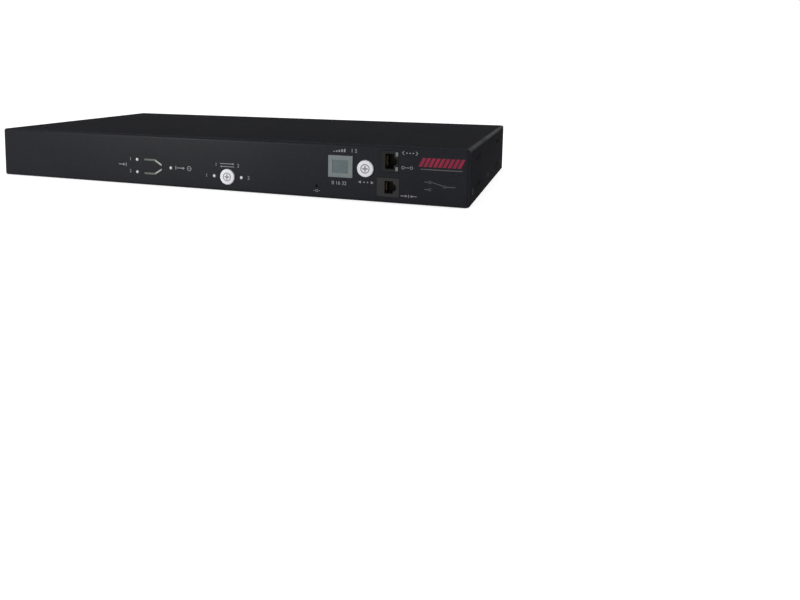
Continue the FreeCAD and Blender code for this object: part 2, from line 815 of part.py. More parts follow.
def button_switches():
    """The three switches on the board, each with the well that its plunger runs in."""
    switches = []
    for x, z in (*BUTTON_PLACES.values(), RESET_PLACE):
        shell = block("switch_shell", around(x, "switch_size"),
                      (f"{BOARD_FRONT} - switch_height", BOARD_FRONT), around(z, "switch_size"))
        well = rod("switch_well", "y", (f"{BOARD_FRONT} - switch_height - {PAST}",
                                        f"{BOARD_FRONT} - switch_height + plunger_well"),
                   "plunger_radius + plunger_gap", (x, z))
        switches.append(cut("button_switch", shell, well))
    finish("button_switches", group("button_switch_set", switches))


# Lamps

# Corners of a lamp's domed tip, in degrees from its axis
DOME_ANGLES = (22, 45, 67, 90)


def panel_lamps():
    rim_back = f"{FRONT} - lamp_proud + lamp_length + lamp_rim_height"
    rim_front = f"{FRONT} - lamp_proud + lamp_length"
    tip = f"{FRONT} - lamp_proud"
    spacers = []
    for name, spots in LAMP_PLACES.items():
        lamps = []
        for x, z in spots:
            dome = [(f"lamp_radius*sin({angle})", f"{tip} + lamp_radius*(1 - cos({angle}))")
                    for angle in DOME_ANGLES]
            profile = [("0", tip), *dome, ("lamp_radius", rim_front),
                       ("lamp_radius + lamp_rim", rim_front), ("lamp_radius + lamp_rim", rim_back),
                       ("0", rim_back)]
            lamps.append(turned("lamp", profile, x, z))
            spacers.append(rod("lamp_spacer", "y", (rim_back, BOARD_FRONT), "spacer_radius", (x, z)))
        single = lamps[0] if len(lamps) == 1 else group(f"{name}_lamp_set", lamps)
        finish(f"{name}_lamp" if len(lamps) == 1 else f"{name}_lamps", single)
    finish("lamp_spacers", group("lamp_spacer_set", spacers))


def light_bars():
    for name, side in (("light_bar_a", 1), ("light_bar_b", -1)):
        finish(name, bar_solid(f"{name}_body", side, "0", f"{FRONT} - bar_proud", BOARD_FRONT))


# Display: a rimmed window in front of a two-digit module

def display():
    face = f"{FRONT} - display_proud"
    window_width = "display_width - 2*display_rim"
    window_height = "display_height - 2*display_rim"
    neck = "2*display_rim_overlap"
    neck_back = f"{PANEL_BACK} + display_neck_depth"
    rim = block("display_rim_block", around("display_x", "display_width"), (face, FRONT),
                around("display_z", "display_height"))
    collar = block("display_neck", around("display_x", f"display_width - {neck}"), (FRONT, neck_back),
                   around("display_z", f"display_height - {neck}"))
    soft_rim = rounded("display_soft_rim", rim, SIZES["display_proud"] / 2,
                       lambda box: box.YMax < -half_depth - SIZES["display_proud"] + SAME_PLACE)
    opening = block("display_opening", around("display_x", window_width),
                    (f"{face} - {PAST}", f"{neck_back} + {PAST}"), around("display_z", window_height))
    finish("display_bezel", cut("display_frame", fuse("display_frame_solid", soft_rim, collar), opening))
    window_y = (f"{face} + window_sink", f"{face} + window_sink + window_sheet")
    finish("display_window", block("display_pane", around("display_x", window_width), window_y,
                                   around("display_z", window_height)))
    finish("display_module", block("digit_block", around("display_x", f"{window_width} - 2*display_gap"),
                                   (f"{window_y[1]} + digit_gap", BOARD_FRONT),
                                   around("display_z", f"{window_height} - 2*display_gap")))


# Jacks

def jack(name, contact_count):
    face = f"{FRONT} - jack_proud"
    x, z = f"{name}_x", f"{name}_z"
    port_centre = f"{x} + {name}_port_x"
    port_left, port_right = around(port_centre, f"{name}_port_width")
    shell = block(f"{name}_shell", around(x, f"{name}_width"), (face, BOARD_FRONT),
                  around(z, f"{name}_height"))
    soft = rounded(f"{name}_soft_shell", shell, SIZES["jack_proud"],
                   lambda box: box.YMax < -half_depth - SIZES["jack_proud"] + SAME_PLACE)
    port_y = (f"{face} - {PAST}", f"{face} + port_depth")
    port = fuse(f"{name}_port",
                block("port_main", (port_left, port_right), port_y, around(z, f"{name}_port_height")),
                block("port_latch", (f"{port_right} - {PAST}", f"{port_right} + latch_step"), port_y,
                      around(z, "latch_narrow")),
                block("port_latch_tip", (f"{port_right} - {PAST}", f"{port_right} + latch_step + latch_tip"),
                      port_y, around(z, "latch_tip_width")))
    contacts = []
    for step in range(contact_count):
        row = f"{z} + ({step} - ({contact_count} - 1)/2)*contact_pitch"
        contacts.append(block(f"{name}_contact", (port_left, f"{port_left} + contact_height"),
                              (f"{face} + port_depth - contact_length", f"{face} + port_depth"),
                              around(row, "contact_width")))
    finish(f"{name}_contacts", group(f"{name}_contact_set", contacts))
    return soft, port


def network_jack():
    shell, port = jack("network", 8)
    face = f"{FRONT} - jack_proud"
    right = "network_x + network_width/2 - jack_lamp_inset"
    seats, lamps = [], []
    for side in (1, -1):
        row = around(f"network_z + ({side})*jack_lamp_spacing/2", "jack_lamp_height")
        seats.append(block("jack_lamp_seat", (f"{right} - jack_lamp_width", right),
                           (f"{face} - {PAST}", f"{face} + jack_lamp_depth"), row))
        lamps.append(block("jack_lamp", (f"{right} - jack_lamp_width", right),
                           (face, f"{face} + jack_lamp_depth"), row))
    finish("network_jack", cut("network_jack_cut", shell, port, *seats))
    finish("network_jack_lamps", group("jack_lamp_set", lamps))


def serial_jack():
    shell, port = jack("serial", 6)
    finish("serial_jack", cut("serial_jack_cut", shell, port))


# Rear inlets and outlets, each turned so that its long side stands upright

def with_cut_corners(name, x, y, z, corner):
    """A box along Y whose two corners on its right are cut off, as mains sockets have."""
    base = block(f"{name}_block", x, y, z)
    base.recompute()
    right = base.Shape.BoundBox.XMax
    return cornered(name, base, corner,
                    lambda box: box.YLength > SAME_PLACE and box.XMin > right - SAME_PLACE)


def socket_ring(name, kind, centre, depth):
    """The space around a socket's core, which the plug's shroud enters."""
    face = f"{REAR} + flange_thickness"
    recess = with_cut_corners(f"{name}_recess", around(centre, f"{kind}_recess_width"),
                              (f"{face} - {depth}", f"{face} + {PAST}"),
                              around(ROW_Z, f"{kind}_recess_height"), SIZES["outlet_corner"])
    core = with_cut_corners(f"{name}_core", around(centre, f"{kind}_core_width"),
                            (f"{face} - {depth} - {PAST}", f"{face} + 2*{PAST}"),
                            around(ROW_Z, f"{kind}_core_height"), SIZES["core_corner"])
    return cut(f"{name}_ring", recess, core)


def slot_places(kind, centre):
    """The x and z centres of a socket's three slots: line, earth, neutral."""
    return [(f"{centre} - {kind}_slot_offset/2", f"{ROW_Z} - {kind}_slot_pitch"),
            (f"{centre} + {kind}_slot_offset", ROW_Z),
            (f"{centre} - {kind}_slot_offset/2", f"{ROW_Z} + {kind}_slot_pitch")]


def socket_slots(name, kind, centre, wide, tall):
    """The three slots of a socket, and the brass clip at the end of each."""
    face = f"{REAR} + flange_thickness"
    slots, clips = [], []
    for x, z in slot_places(kind, centre):
        slots.append(block(f"{name}_slot", around(x, wide),
                           (f"{face} - outlet_slot_depth", f"{face} + {PAST}"), around(z, tall)))
        clips.append(block(f"{name}_clip", around(x, wide),
                           (f"{face} - outlet_slot_depth", f"{face} - outlet_slot_depth + clip_length"),
                           around(z, tall)))
    return slots, clips


def outlet_banks():
    face = f"{REAR} + flange_thickness"
    clips = []
    for name, centre in BANKS.items():
        flange = block(f"{name}_flange", around(centre, "outlet_count*outlet_pitch + 2*outlet_margin"),
                       (REAR, face), around(ROW_Z, "outlet_flange_height"))
        soft_flange = rounded(f"{name}_soft_flange", flange, SIZES["flange_thickness"] / 2,
                              lambda box: box.YMin > half_depth + SIZES["flange_thickness"] - SAME_PLACE)
        body = block(f"{name}_body", around(centre, BANK_BODY), (f"{REAR} - outlet_depth", REAR),
                     around(ROW_Z, "outlet_body_height"))
        spaces = []
        for step in range(SIZES["outlet_count"]):
            middle = f"{centre} + ({step} - (outlet_count - 1)/2)*outlet_pitch"
            spaces.append(socket_ring(f"{name}_socket", "outlet", middle, "outlet_recess_depth"))
            slots, slot_clips = socket_slots(name, "outlet", middle, "outlet_slot_long", "outlet_slot_short")
            spaces += slots
            clips += slot_clips
        finish(name, cut(f"{name}_cut", fuse(f"{name}_solid", soft_flange, body), *spaces))
    finish("outlet_contacts", group("outlet_clip_set", clips))


def large_body(name, centre, depth):
    """A snap-in housing with a flange, for the large outlet and both inlets."""
    face = f"{REAR} + flange_thickness"
    flange = block(f"{name}_flange", around(centre, "large_flange_width"), (REAR, face),
                   around(ROW_Z, "large_flange_height"))
    soft_flange = rounded(f"{name}_soft_flange", flange, SIZES["flange_thickness"] / 2,
                          lambda box: box.YMin > half_depth + SIZES["flange_thickness"] - SAME_PLACE)
    body = block(f"{name}_body", around(centre, LARGE_BODY_WIDTH), (f"{REAR} - {depth}", REAR),
                 around(ROW_Z, LARGE_BODY_HEIGHT))
    return fuse(f"{name}_solid", soft_flange, body)


def large_outlet():
    centre = LARGE_OUTLET_X
    ring = socket_ring("large_socket", "large", centre, "outlet_recess_depth")
    slots, clips = socket_slots("large", "large", centre, "large_slot_short", "large_slot_long")
    finish("large_outlet", cut("large_outlet_cut", large_body("large_outlet_housing", centre, "outlet_depth"),
                               ring, *slots))
    finish("large_outlet_contacts", group("large_clip_set", clips))


def inlets():
    face = f"{REAR} + flange_thickness"
    recess_floor = f"{face} - inlet_recess_depth"
    back = f"{REAR} - inlet_depth"
    for letter, centre in INLETS.items():
        name = f"inlet_{letter}"
        recess = with_cut_corners(f"{name}_recess", around(centre, "large_recess_width"),
                                  (recess_floor, f"{face} + {PAST}"),
                                  around(ROW_Z, "large_recess_height"), SIZES["outlet_corner"])
        passages, pins = [], []
        for x, z in slot_places("large", centre):
            passages.append(block(f"{name}_passage", around(x, "pin_short"),
                                  (f"{back} - {PAST}", f"{recess_floor} + {PAST}"), around(z, "pin_long")))
            pins.append(block(f"{name}_pin", around(x, "pin_short"),
                              (f"{back} - pin_tab_length", f"{recess_floor} + pin_length"),
                              around(z, "pin_long")))
        finish(name, cut(f"{name}_cut", large_body(f"{name}_housing", centre, "inlet_depth"),
                         recess, *passages))
        finish(f"{name}_pins", group(f"{name}_pin_set", pins))


# Breakers with push-to-reset buttons

def threaded_nut(name, flats, thickness, thread_radius, spot):
    """A six-sided nut against the outside of the rear wall."""
    blank = hexagon(f"{name}_blank", "y", (REAR, f"{REAR} + {thickness}"), flats, spot)
    bore = rod(f"{name}_bore", "y", (f"{REAR} - {PAST}", f"{REAR} + {thickness} + {PAST}"),
               f"{thread_radius} + thread_gap", spot)
    return cut(name, blank, bore)


def breakers():
    nuts = []
    for number, level in BREAKERS.items():
        spot = (BREAKER_X, level)
        neck_end = f"{REAR_INSIDE} + breaker_neck_length"
        shell = block("breaker_shell", around(BREAKER_X, "breaker_size"),
                      (f"{REAR_INSIDE} - breaker_depth", REAR_INSIDE), around(level, "breaker_size"))
        neck = rod("breaker_neck", "y", (f"{REAR_INSIDE} - {PAST}", neck_end), "breaker_neck_radius", spot)
        well = rod("breaker_bore", "y", (f"{neck_end} - breaker_well", f"{neck_end} + {PAST}"),
                   "breaker_button_radius + breaker_button_gap", spot)
        finish(f"breaker_{number}", cut(f"breaker_{number}_cut",
                                        fuse(f"breaker_{number}_solid", shell, neck), well))
        plunger_y = (f"{neck_end} - breaker_button_depth - breaker_travel",
                     f"{neck_end} + breaker_button_proud")
        finish(f"breaker_button_{number}",
               rod(f"breaker_{number}_plunger", "y", plunger_y, "breaker_button_radius", spot))
        nuts.append(threaded_nut("breaker_nut", "breaker_nut_width", "breaker_nut_height",
                                 "breaker_neck_radius", spot))
    finish("breaker_nuts", group("breaker_nut_set", nuts))


def earth_stud():
    spot = (STUD_X, ROW_Z)
    head = hexagon("stud_head", "y", (f"{REAR_INSIDE} - stud_head_height", REAR_INSIDE),
                   "stud_nut_width", spot)
    shank = rod("stud_shank", "y", (REAR_INSIDE, f"{REAR} + stud_length"), "stud_radius", spot)
    finish("earth_stud", fuse("stud", head, shank))
    finish("earth_nut", threaded_nut("stud_nut", "stud_nut_width", "stud_nut_height", "stud_radius", spot))


# Power board and its parts

def power_screw_spots():
    columns = (f"{POWER_LEFT} + power_screw_inset", "0", f"{POWER_RIGHT} - power_screw_inset")
    rows = (f"{POWER_FRONT} + power_screw_inset", f"{POWER_BACK} - power_screw_back_inset")
    return [(column, line) for column in columns for line in rows]


def power_board():
    plate = block("power_plate", (POWER_LEFT, POWER_RIGHT), (POWER_FRONT, POWER_BACK),
                  (POWER_BOTTOM, POWER_TOP))
    holes = [rod("power_hole", "z", (f"{POWER_BOTTOM} - {PAST}", f"{POWER_TOP} + {PAST}"),
                 "power_screw_radius + thread_gap", spot) for spot in power_screw_spots()]
    finish("power_board", cut("power_board_cut", plate, *holes))

    insulator = block("insulator_plate",
                      (f"{POWER_LEFT} - insulator_margin", f"{POWER_RIGHT} + insulator_margin"),
                      (f"{POWER_FRONT} - insulator_margin", f"{POWER_BACK} + insulator_margin"),
                      ("tray_sheet", "tray_sheet + insulator_sheet"))
    reliefs, posts, screws = [], [], []
    for spot in power_screw_spots():
        reliefs.append(rod("insulator_relief", "z",
                           (f"tray_sheet - {PAST}", f"tray_sheet + insulator_sheet + {PAST}"),
                           "standoff_hex_width/2/cos(30) + insulator_hole_gap", spot))
        post = hexagon("power_post", "z", ("tray_sheet", POWER_BOTTOM), "standoff_hex_width", spot)
        posts.append(cut("power_standoff", post,
                         rod("power_post_bore", "z", (f"{POWER_BOTTOM} - power_screw_bore",
                                                      f"{POWER_BOTTOM} + {PAST}"),
                             "power_screw_radius + thread_gap", spot)))
        head = rod("power_head", "z", (POWER_TOP, f"{POWER_TOP} + board_screw_head_height"),
                   "board_screw_head_radius", spot)
        shank = rod("power_shank", "z", (f"{POWER_TOP} - power_screw_length", POWER_TOP),
                    "power_screw_radius", spot)
        screws.append(fuse("power_screw", head, shank))
    finish("insulating_sheet", cut("insulator_cut", insulator, *reliefs))
    finish("power_board_standoffs", group("power_standoff_set", posts))
    finish("power_board_screws", group("power_screw_set", screws))


def on_board(height):
    return (POWER_TOP, f"{POWER_TOP} + {height}")


def board_parts():
    relays = [block("relay", around(f"({step} - (relay_count - 1)/2)*relay_pitch", "relay_length"),
                    around(f"{POWER_MIDDLE} + relay_row_shift", "relay_width"), on_board("relay_height"))
              for step in range(SIZES["relay_count"])]
    finish("changeover_relays", group("relay_set", relays))
    transformer_places = (f"{POWER_LEFT} + transformer_low_inset", f"{POWER_RIGHT} - transformer_high_inset")
    cores = [block("transformer", around(centre, "transformer_length"),
                   around(f"{POWER_FRONT} + transformer_front_inset", "transformer_width"),
                   on_board("transformer_height"))
             for centre in transformer_places]
    finish("control_transformers", group("transformer_set", cores))
    can_line = f"{POWER_FRONT} + capacitor_front_inset"
    cans = [rod("capacitor", "z", on_board("capacitor_height"), "capacitor_radius",
                (f"capacitor_row_x + ({step} - (capacitor_count - 1)/2)*capacitor_pitch", can_line))
            for step in range(SIZES["capacitor_count"])]
    finish("storage_capacitors", group("capacitor_set", cans))

    tubes, clips = [], []
    for step in range(SIZES["fuse_count"]):
        line = f"{POWER_LEFT} + fuse_inset + {step}*fuse_pitch"
        level = f"{POWER_TOP} + fuse_lift"
        start, stop = around(f"{POWER_MIDDLE} + fuse_shift", "fuse_length")
        glass = rod("fuse_glass", "y", (start, stop), "fuse_radius", (line, level))
        cap_spans = ((start, f"{start} + fuse_cap_length"), (f"{stop} - fuse_cap_length", stop))
        caps = [rod("fuse_cap", "y", span, "fuse_radius + fuse_cap_rim", (line, level)) for span in cap_spans]
        tube = fuse("fuse", glass, *caps)
        tubes.append(tube)
        for span in cap_spans:
            seat = block("fuse_clip_block", around(line, "fuse_clip_width"),
                         around(f"(({span[0]}) + ({span[1]}))/2", "fuse_clip_length"), on_board("fuse_lift"))
            hollow = rod("fuse_clip_hollow", "y", (f"{span[0]} - {PAST}", f"{span[1]} + {PAST}"),
                         "fuse_radius + fuse_cap_rim", (line, level))
            clips.append(cut("fuse_clip", seat, hollow))
    finish("board_fuses", group("fuse_set", tubes))
    finish("fuse_clips", group("fuse_clip_set", clips))

    sensor_z = f"{POWER_TOP} + sensor_foot + sensor_radius"
    span = around(f"{POWER_BACK} - sensor_back_inset", "sensor_length")
    ring = rod("sensor_ring", "y", span, "sensor_radius", ("sensor_x", sensor_z))
    foot = block("sensor_foot_block", around("sensor_x", "sensor_foot_width"), span, (POWER_TOP, sensor_z))
    bore = rod("sensor_bore", "y", (f"{span[0]} - {PAST}", f"{span[1]} + {PAST}"), "sensor_bore_radius",
               ("sensor_x", sensor_z))
    finish("current_sensor", cut("sensor_cut", fuse("sensor_solid", ring, foot), bore))


# Terminal blocks and the wires that come forward to them from the rear wall

# For each block: the rear part it serves, its sideways shift from it and that part's depth
TERMINALS = {
    "input_a": (INLETS["a"], "terminal_shift", "inlet_depth"),
    "input_b": (INLETS["b"], "terminal_shift", "inlet_depth"),
    "bank_1": ("outlet_bank_low_x", "0", "outlet_depth"),
    "bank_2": ("outlet_bank_high_x", "0", "outlet_depth"),
    "large": (LARGE_OUTLET_X, "0", "outlet_depth"),
}
BLOCK_BACK = f"{POWER_BACK} - block_back_gap"
TERMINAL_Z = f"{POWER_TOP} + block_height/2"
# Line, neutral and earth
POLES = 3

# How far along its run each wire turns, as shares of the run
WIRE_BENDS = (0.4, 0.82)
# Left, middle and right wire: its pin's place in the order line, earth, neutral. The
# earth pin stands out to the right, and so its wire is the right-hand one.
PIN_OF_WIRE = {-1: 0, 0: 2, 1: 1}


def terminal_line(centre, step):
    return f"{centre} + ({step} - ({POLES} - 1)/2)*terminal_pitch"


def terminal_blocks():
    blocks, screws = [], []
    for served, shift, _ in TERMINALS.values():
        centre = f"{served} + {shift}"
        base = block("terminal_base", around(centre, f"{POLES}*terminal_pitch"),
                     (f"{BLOCK_BACK} - block_depth", BLOCK_BACK), on_board("block_height"))
        entries = [rod("terminal_entry", "y", (f"{BLOCK_BACK} - block_hole_depth", f"{BLOCK_BACK} + {PAST}"),
                       "wire_radius + wire_gap", (terminal_line(centre, step), TERMINAL_Z))
                   for step in range(POLES)]
        blocks.append(cut("terminal_block", base, *entries))
        top = f"{POWER_TOP} + block_height"
        screw_z = (top, f"{top} + block_screw_height")
        screws += [rod("terminal_screw", "z", screw_z, "block_screw_radius",
                       (terminal_line(centre, step), f"{BLOCK_BACK} - block_depth/2"))
                   for step in range(POLES)]
    finish("terminal_blocks", group("terminal_block_set", blocks))
    finish("terminal_screws", group("terminal_screw_set", screws))


def routed_tube(name, points, radius):
    """A round tube along straight runs joined by arcs as large as the runs allow."""
    runs = [b - a for a, b in zip(points, points[1:])]
    edges = []
    start = points[0]
    for number in range(1, len(points) - 1):
        before, after = runs[number - 1], runs[number]
        half_turn = before.getAngle(after) / 2
        setback = 0.45 * min(before.Length, after.Length)
        bend_radius = setback / math.tan(half_turn)
        into = FreeCAD.Vector(before).normalize()
        out = FreeCAD.Vector(after).normalize()
        enter = points[number] - into * setback
        leave = points[number] + out * setback
        inward = (out - into).normalize()
        centre = points[number] + inward * (bend_radius / math.cos(half_turn))
        middle = centre - inward * bend_radius
        edges.append(Part.LineSegment(start, enter).toShape())
        edges.append(Part.Arc(enter, middle, leave).toShape())
        start = leave
    edges.append(Part.LineSegment(start, points[-1]).toShape())
    path = Part.Wire(edges)
    rim = Part.Wire(Part.makeCircle(radius, points[0], runs[0]))
    item = doc.addObject("Part::Feature", name)
    item.Shape = path.makePipeShell([rim], True, False)
    return item


def supply_wires():
    """Three wires from each inlet and outlet group to its terminal block."""
    terminal_z = worked_out(TERMINAL_Z)
    entry_y = worked_out(f"{BLOCK_BACK} - block_hole_depth + wire_end_gap")
    row_z = worked_out(ROW_Z)
    wires = {"input_wires": [], "output_wires": []}
    for name, (served, shift, depth) in TERMINALS.items():
        rear_x = worked_out(served)
        block_x = worked_out(f"{served} + {shift}")
        housing_back = worked_out(f"{REAR} - {depth}")
        kind = "input_wires" if depth == "inlet_depth" else "output_wires"
        for step in (-1, 0, 1):
            enter = FreeCAD.Vector(block_x + step * SIZES["terminal_pitch"], entry_y, terminal_z)
            if kind == "output_wires":
                leave = FreeCAD.Vector(rear_x + step * SIZES["outlet_slot_pitch"], housing_back, row_z)
            else:
                tab_end = housing_back - SIZES["pin_tab_length"]
                pin_x, pin_z = (worked_out(text) for text in slot_places("large", served)[PIN_OF_WIRE[step]])
                leave = FreeCAD.Vector(pin_x, tab_end, pin_z)
            gap = leave.y - enter.y
            points = [enter, FreeCAD.Vector(enter.x, enter.y + gap * WIRE_BENDS[0], enter.z),
                      FreeCAD.Vector(leave.x, enter.y + gap * WIRE_BENDS[1], leave.z), leave]
            wires[kind].append(routed_tube(f"{name}_wire", points, SIZES["wire_radius"]))
    for kind, tubes in wires.items():
        finish(kind, group(f"{kind}_set", tubes))


# Ribbon between the two boards, with a plug on each

def ribbon():
    level = "ribbon_height_z"
    upper_plug_y = (BOARD_BACK, f"{BOARD_BACK} + plug_depth")
    landing = f"{POWER_FRONT} + ribbon_landing"
    upper = block("upper_plug", around("ribbon_x", "plug_width"), upper_plug_y, around(level, "plug_height"))
    lower = block("lower_plug", around("ribbon_x", "plug_width"), around(landing, "plug_height"),
                  on_board("plug_depth"))
    finish("ribbon_plugs", group("ribbon_plug_set", [upper, lower]))
    body = doc.addObject("PartDesign::Body", "ribbon_body")
    lower_top = f"{POWER_TOP} + plug_depth"
    half = "ribbon_sheet/2"
    corners = [(upper_plug_y[1], f"{level} - {half}"), (f"{landing} + {half}", f"{level} - {half}"),
               (f"{landing} + {half}", lower_top), (f"{landing} - {half}", lower_top),
               (f"{landing} - {half}", f"{level} - 3*{half}"), (upper_plug_y[1], f"{level} - 3*{half}")]
    pad = body.newObject("PartDesign::Pad", "ribbon_pad")
    pad.Profile = outlined(body, "ribbon_section", "YZ_Plane", corners)
    pad.Midplane = True
    bind(pad, Length="ribbon_width")
    finish("ribbon_cable", place(body, "ribbon_x", "0", "0"))


chassis_tray()
top_cover()
cover_screws()
bracket_nuts()
control_board()
control_chips()
push_buttons()
button_switches()
panel_lamps()
light_bars()
display()
network_jack()
serial_jack()
outlet_banks()
large_outlet()
inlets()
breakers()
earth_stud()
power_board()
board_parts()
terminal_blocks()
supply_wires()
ribbon()

doc.recompute()
for item in doc.Objects:
    if {"Invalid", "Error"} & set(item.State):
        raise RuntimeError(f"{item.Name} did not build: {item.State}")
for piece in pieces:
    if piece.Shape.isNull() or not piece.Shape.isValid() or not piece.Shape.Solids:
        raise RuntimeError(f"{piece.Label} has no sound solid")

os.makedirs("parts", exist_ok=True)
for piece in pieces:
    piece.Shape.exportStep(f"parts/{piece.Label}.step")
print(len(pieces), "pieces written")
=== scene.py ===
import json
import math

import bmesh
import bpy
from mathutils import Matrix, Vector


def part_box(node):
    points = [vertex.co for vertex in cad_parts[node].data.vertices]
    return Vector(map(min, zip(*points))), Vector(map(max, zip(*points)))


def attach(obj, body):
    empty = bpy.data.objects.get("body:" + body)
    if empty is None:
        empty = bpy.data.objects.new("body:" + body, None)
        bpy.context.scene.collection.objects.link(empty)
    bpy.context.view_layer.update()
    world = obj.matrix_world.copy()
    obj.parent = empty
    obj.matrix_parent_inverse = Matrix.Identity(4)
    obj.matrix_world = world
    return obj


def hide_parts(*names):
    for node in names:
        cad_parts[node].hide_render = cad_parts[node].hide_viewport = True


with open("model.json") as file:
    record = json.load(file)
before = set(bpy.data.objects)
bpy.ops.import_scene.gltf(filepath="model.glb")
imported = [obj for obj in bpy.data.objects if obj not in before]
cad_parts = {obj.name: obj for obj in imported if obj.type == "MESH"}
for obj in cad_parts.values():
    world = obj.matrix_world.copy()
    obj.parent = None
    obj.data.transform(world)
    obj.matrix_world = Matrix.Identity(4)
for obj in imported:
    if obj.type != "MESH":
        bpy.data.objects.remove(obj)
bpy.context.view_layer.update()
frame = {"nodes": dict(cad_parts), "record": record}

scene = bpy.context.scene
scene.view_settings.view_transform = "Standard"

MM = 0.001
CASE = "case"


def low_corner(node):
    return Vector(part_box(node)[0])


def high_corner(node):
    return Vector(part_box(node)[1])


def middle(node):
    return (low_corner(node) + high_corner(node)) / 2


# Places on the case, from the frame
PANEL_Y = low_corner("chassis_tray").y
REAR_Y = high_corner("chassis_tray").y
CASE_RIGHT = high_corner("top_cover").x
CASE_TOP = high_corner("top_cover").z


# Camera, fitted to the case's corners and the panel's buttons and lamps in an image of 800 by 600

IMAGE_WIDTH = 800
IMAGE_MIDDLE = (400, 300)
VIEW_CENTRE = (292, 150)
FOCAL_PIXELS = 744.8
SENSOR = 36.0
CAMERA_PLACE = Vector((293.4, -668.7, 107.1)) * MM
CAMERA_AZIMUTH = math.radians(21.51)
CAMERA_ELEVATION = math.radians(6.74)
CAMERA_ROLL = math.radians(0.28)
NEAREST_SEEN = 10 * MM


def add_camera():
    data = bpy.data.cameras.new("camera")
    data.sensor_width = SENSOR
    data.lens = FOCAL_PIXELS / IMAGE_WIDTH * SENSOR
    data.shift_x = (IMAGE_MIDDLE[0] - VIEW_CENTRE[0]) / IMAGE_WIDTH
    data.shift_y = (VIEW_CENTRE[1] - IMAGE_MIDDLE[1]) / IMAGE_WIDTH
    data.clip_start = NEAREST_SEEN
    camera = bpy.data.objects.new("camera", data)
    scene.collection.objects.link(camera)
    turn = (Matrix.Rotation(CAMERA_AZIMUTH, 4, "Z")
            @ Matrix.Rotation(math.pi / 2 - CAMERA_ELEVATION, 4, "X")
            @ Matrix.Rotation(CAMERA_ROLL, 4, "Z"))
    camera.matrix_world = Matrix.Translation(CAMERA_PLACE) @ turn
    scene.camera = camera


# Wiring of node trees

class Wiring:
    """Adds nodes to one tree; an input takes a value or another node's output."""

    def __init__(self, tree):
        self.tree = tree

    def add(self, kind, inputs=None, **settings):
        node = self.tree.nodes.new(kind)
        for name, value in settings.items():
            setattr(node, name, value)
        for socket, value in (inputs or {}).items():
            if isinstance(value, bpy.types.NodeSocket):
                self.tree.links.new(value, node.inputs[socket])
            else:
                node.inputs[socket].default_value = value
        return node

    def math(self, operation, *values):
        return self.add("ShaderNodeMath", dict(enumerate(values)), operation=operation).outputs[0]

    def ramp(self, value, low, high):
        """0 below low and 1 above high."""
        node = self.add("ShaderNodeMapRange", {"Value": value, "From Min": low, "From Max": high})
        return node.outputs["Result"]

    def mix(self, share, colour, other):
        """The colour where share is 0, and the other one where it is 1."""
        node = self.add("ShaderNodeMix", {"Factor": share}, data_type="RGBA")
        self.tree.links.new(colour, node.inputs["A"])
        node.inputs["B"].default_value = other
        return node.outputs["Result"]


def shader_group(name, inputs, outputs):
    """An empty shader group; Place is a vector and the other inputs and outputs are numbers."""
    tree = bpy.data.node_groups.new(name, "ShaderNodeTree")
    tree.interface.new_socket("Place", in_out="INPUT", socket_type="NodeSocketVector")
    for word, default in inputs.items():
        socket = tree.interface.new_socket(word, in_out="INPUT", socket_type="NodeSocketFloat")
        socket.default_value = default
    for word in outputs:
        tree.interface.new_socket(word, in_out="OUTPUT", socket_type="NodeSocketFloat")
    wiring = Wiring(tree)
    return tree, wiring, wiring.add("NodeGroupInput").outputs, wiring.add("NodeGroupOutput").inputs


def noise(wiring, place, scale, **inputs):
    found = {"Vector": place, "Scale": scale}
    found.update({word.replace("_", " "): value for word, value in inputs.items()})
    return wiring.add("ShaderNodeTexNoise", found).outputs["Fac"]


# Surface effects that several materials share

def powder_grain():
    """Powder coat: a fine orange-peel height, and slow uneven patches."""
    tree, wiring, given, result = shader_group(
        "powder_grain", {"Grain Scale": 900.0, "Patch Scale": 14.0}, ("Height", "Patches"))
    peel = noise(wiring, given["Place"], given["Grain Scale"], Detail=3.0, Roughness=0.6)
    pits = wiring.add("ShaderNodeTexVoronoi", {"Vector": given["Place"], "Scale": given["Grain Scale"]},
                      feature="SMOOTH_F1")
    height = wiring.math("MULTIPLY", peel, pits.outputs["Distance"])
    patches = noise(wiring, given["Place"], given["Patch Scale"], Detail=4.0, Roughness=0.55)
    tree.links.new(height, result["Height"])
    tree.links.new(patches, result["Patches"])
    return tree


def moulded_grain():
    """Moulded plastic: a spark-eroded grain, and faint flow marks."""
    tree, wiring, given, result = shader_group(
        "moulded_grain", {"Grain Scale": 2400.0, "Patch Scale": 60.0}, ("Height", "Patches"))
    grain = noise(wiring, given["Place"], given["Grain Scale"], Detail=2.0, Roughness=0.7)
    flow = noise(wiring, given["Place"], given["Patch Scale"], Detail=3.0, Distortion=0.8)
    tree.links.new(grain, result["Height"])
    tree.links.new(flow, result["Patches"])
    return tree


def plated_streaks():
    """Plated metal: short streaks along one axis, and tarnish clouds."""
    tree, wiring, given, result = shader_group(
        "plated_streaks", {"Grain Scale": 500.0, "Patch Scale": 120.0}, ("Height", "Patches"))
    drawn = wiring.add("ShaderNodeMapping", {"Vector": given["Place"], "Scale": (1.0, 0.06, 1.0)})
    streaks = noise(wiring, drawn.outputs[0], given["Grain Scale"], Detail=4.0)
    clouds = noise(wiring, given["Place"], given["Patch Scale"], Detail=3.0)
    tree.links.new(streaks, result["Height"])
    tree.links.new(clouds, result["Patches"])
    return tree


POWDER = powder_grain()
MOULDED = moulded_grain()
PLATED = plated_streaks()


# Changes of colour and gloss at places of their own

# Painted highlight with rubbed wear along the cover's bends: the band's width, its pale colour and its
# patches
BEND_BAND = 3.0 * MM
WORN_AND_HIGHLIT_STEEL = (0.100, 0.101, 0.105, 1)
WEAR_AND_SHEEN_SCALE = 16.0
WEAR_AND_SHEEN_LOW = 0.2
WEAR_AND_SHEEN_HIGH = 0.6


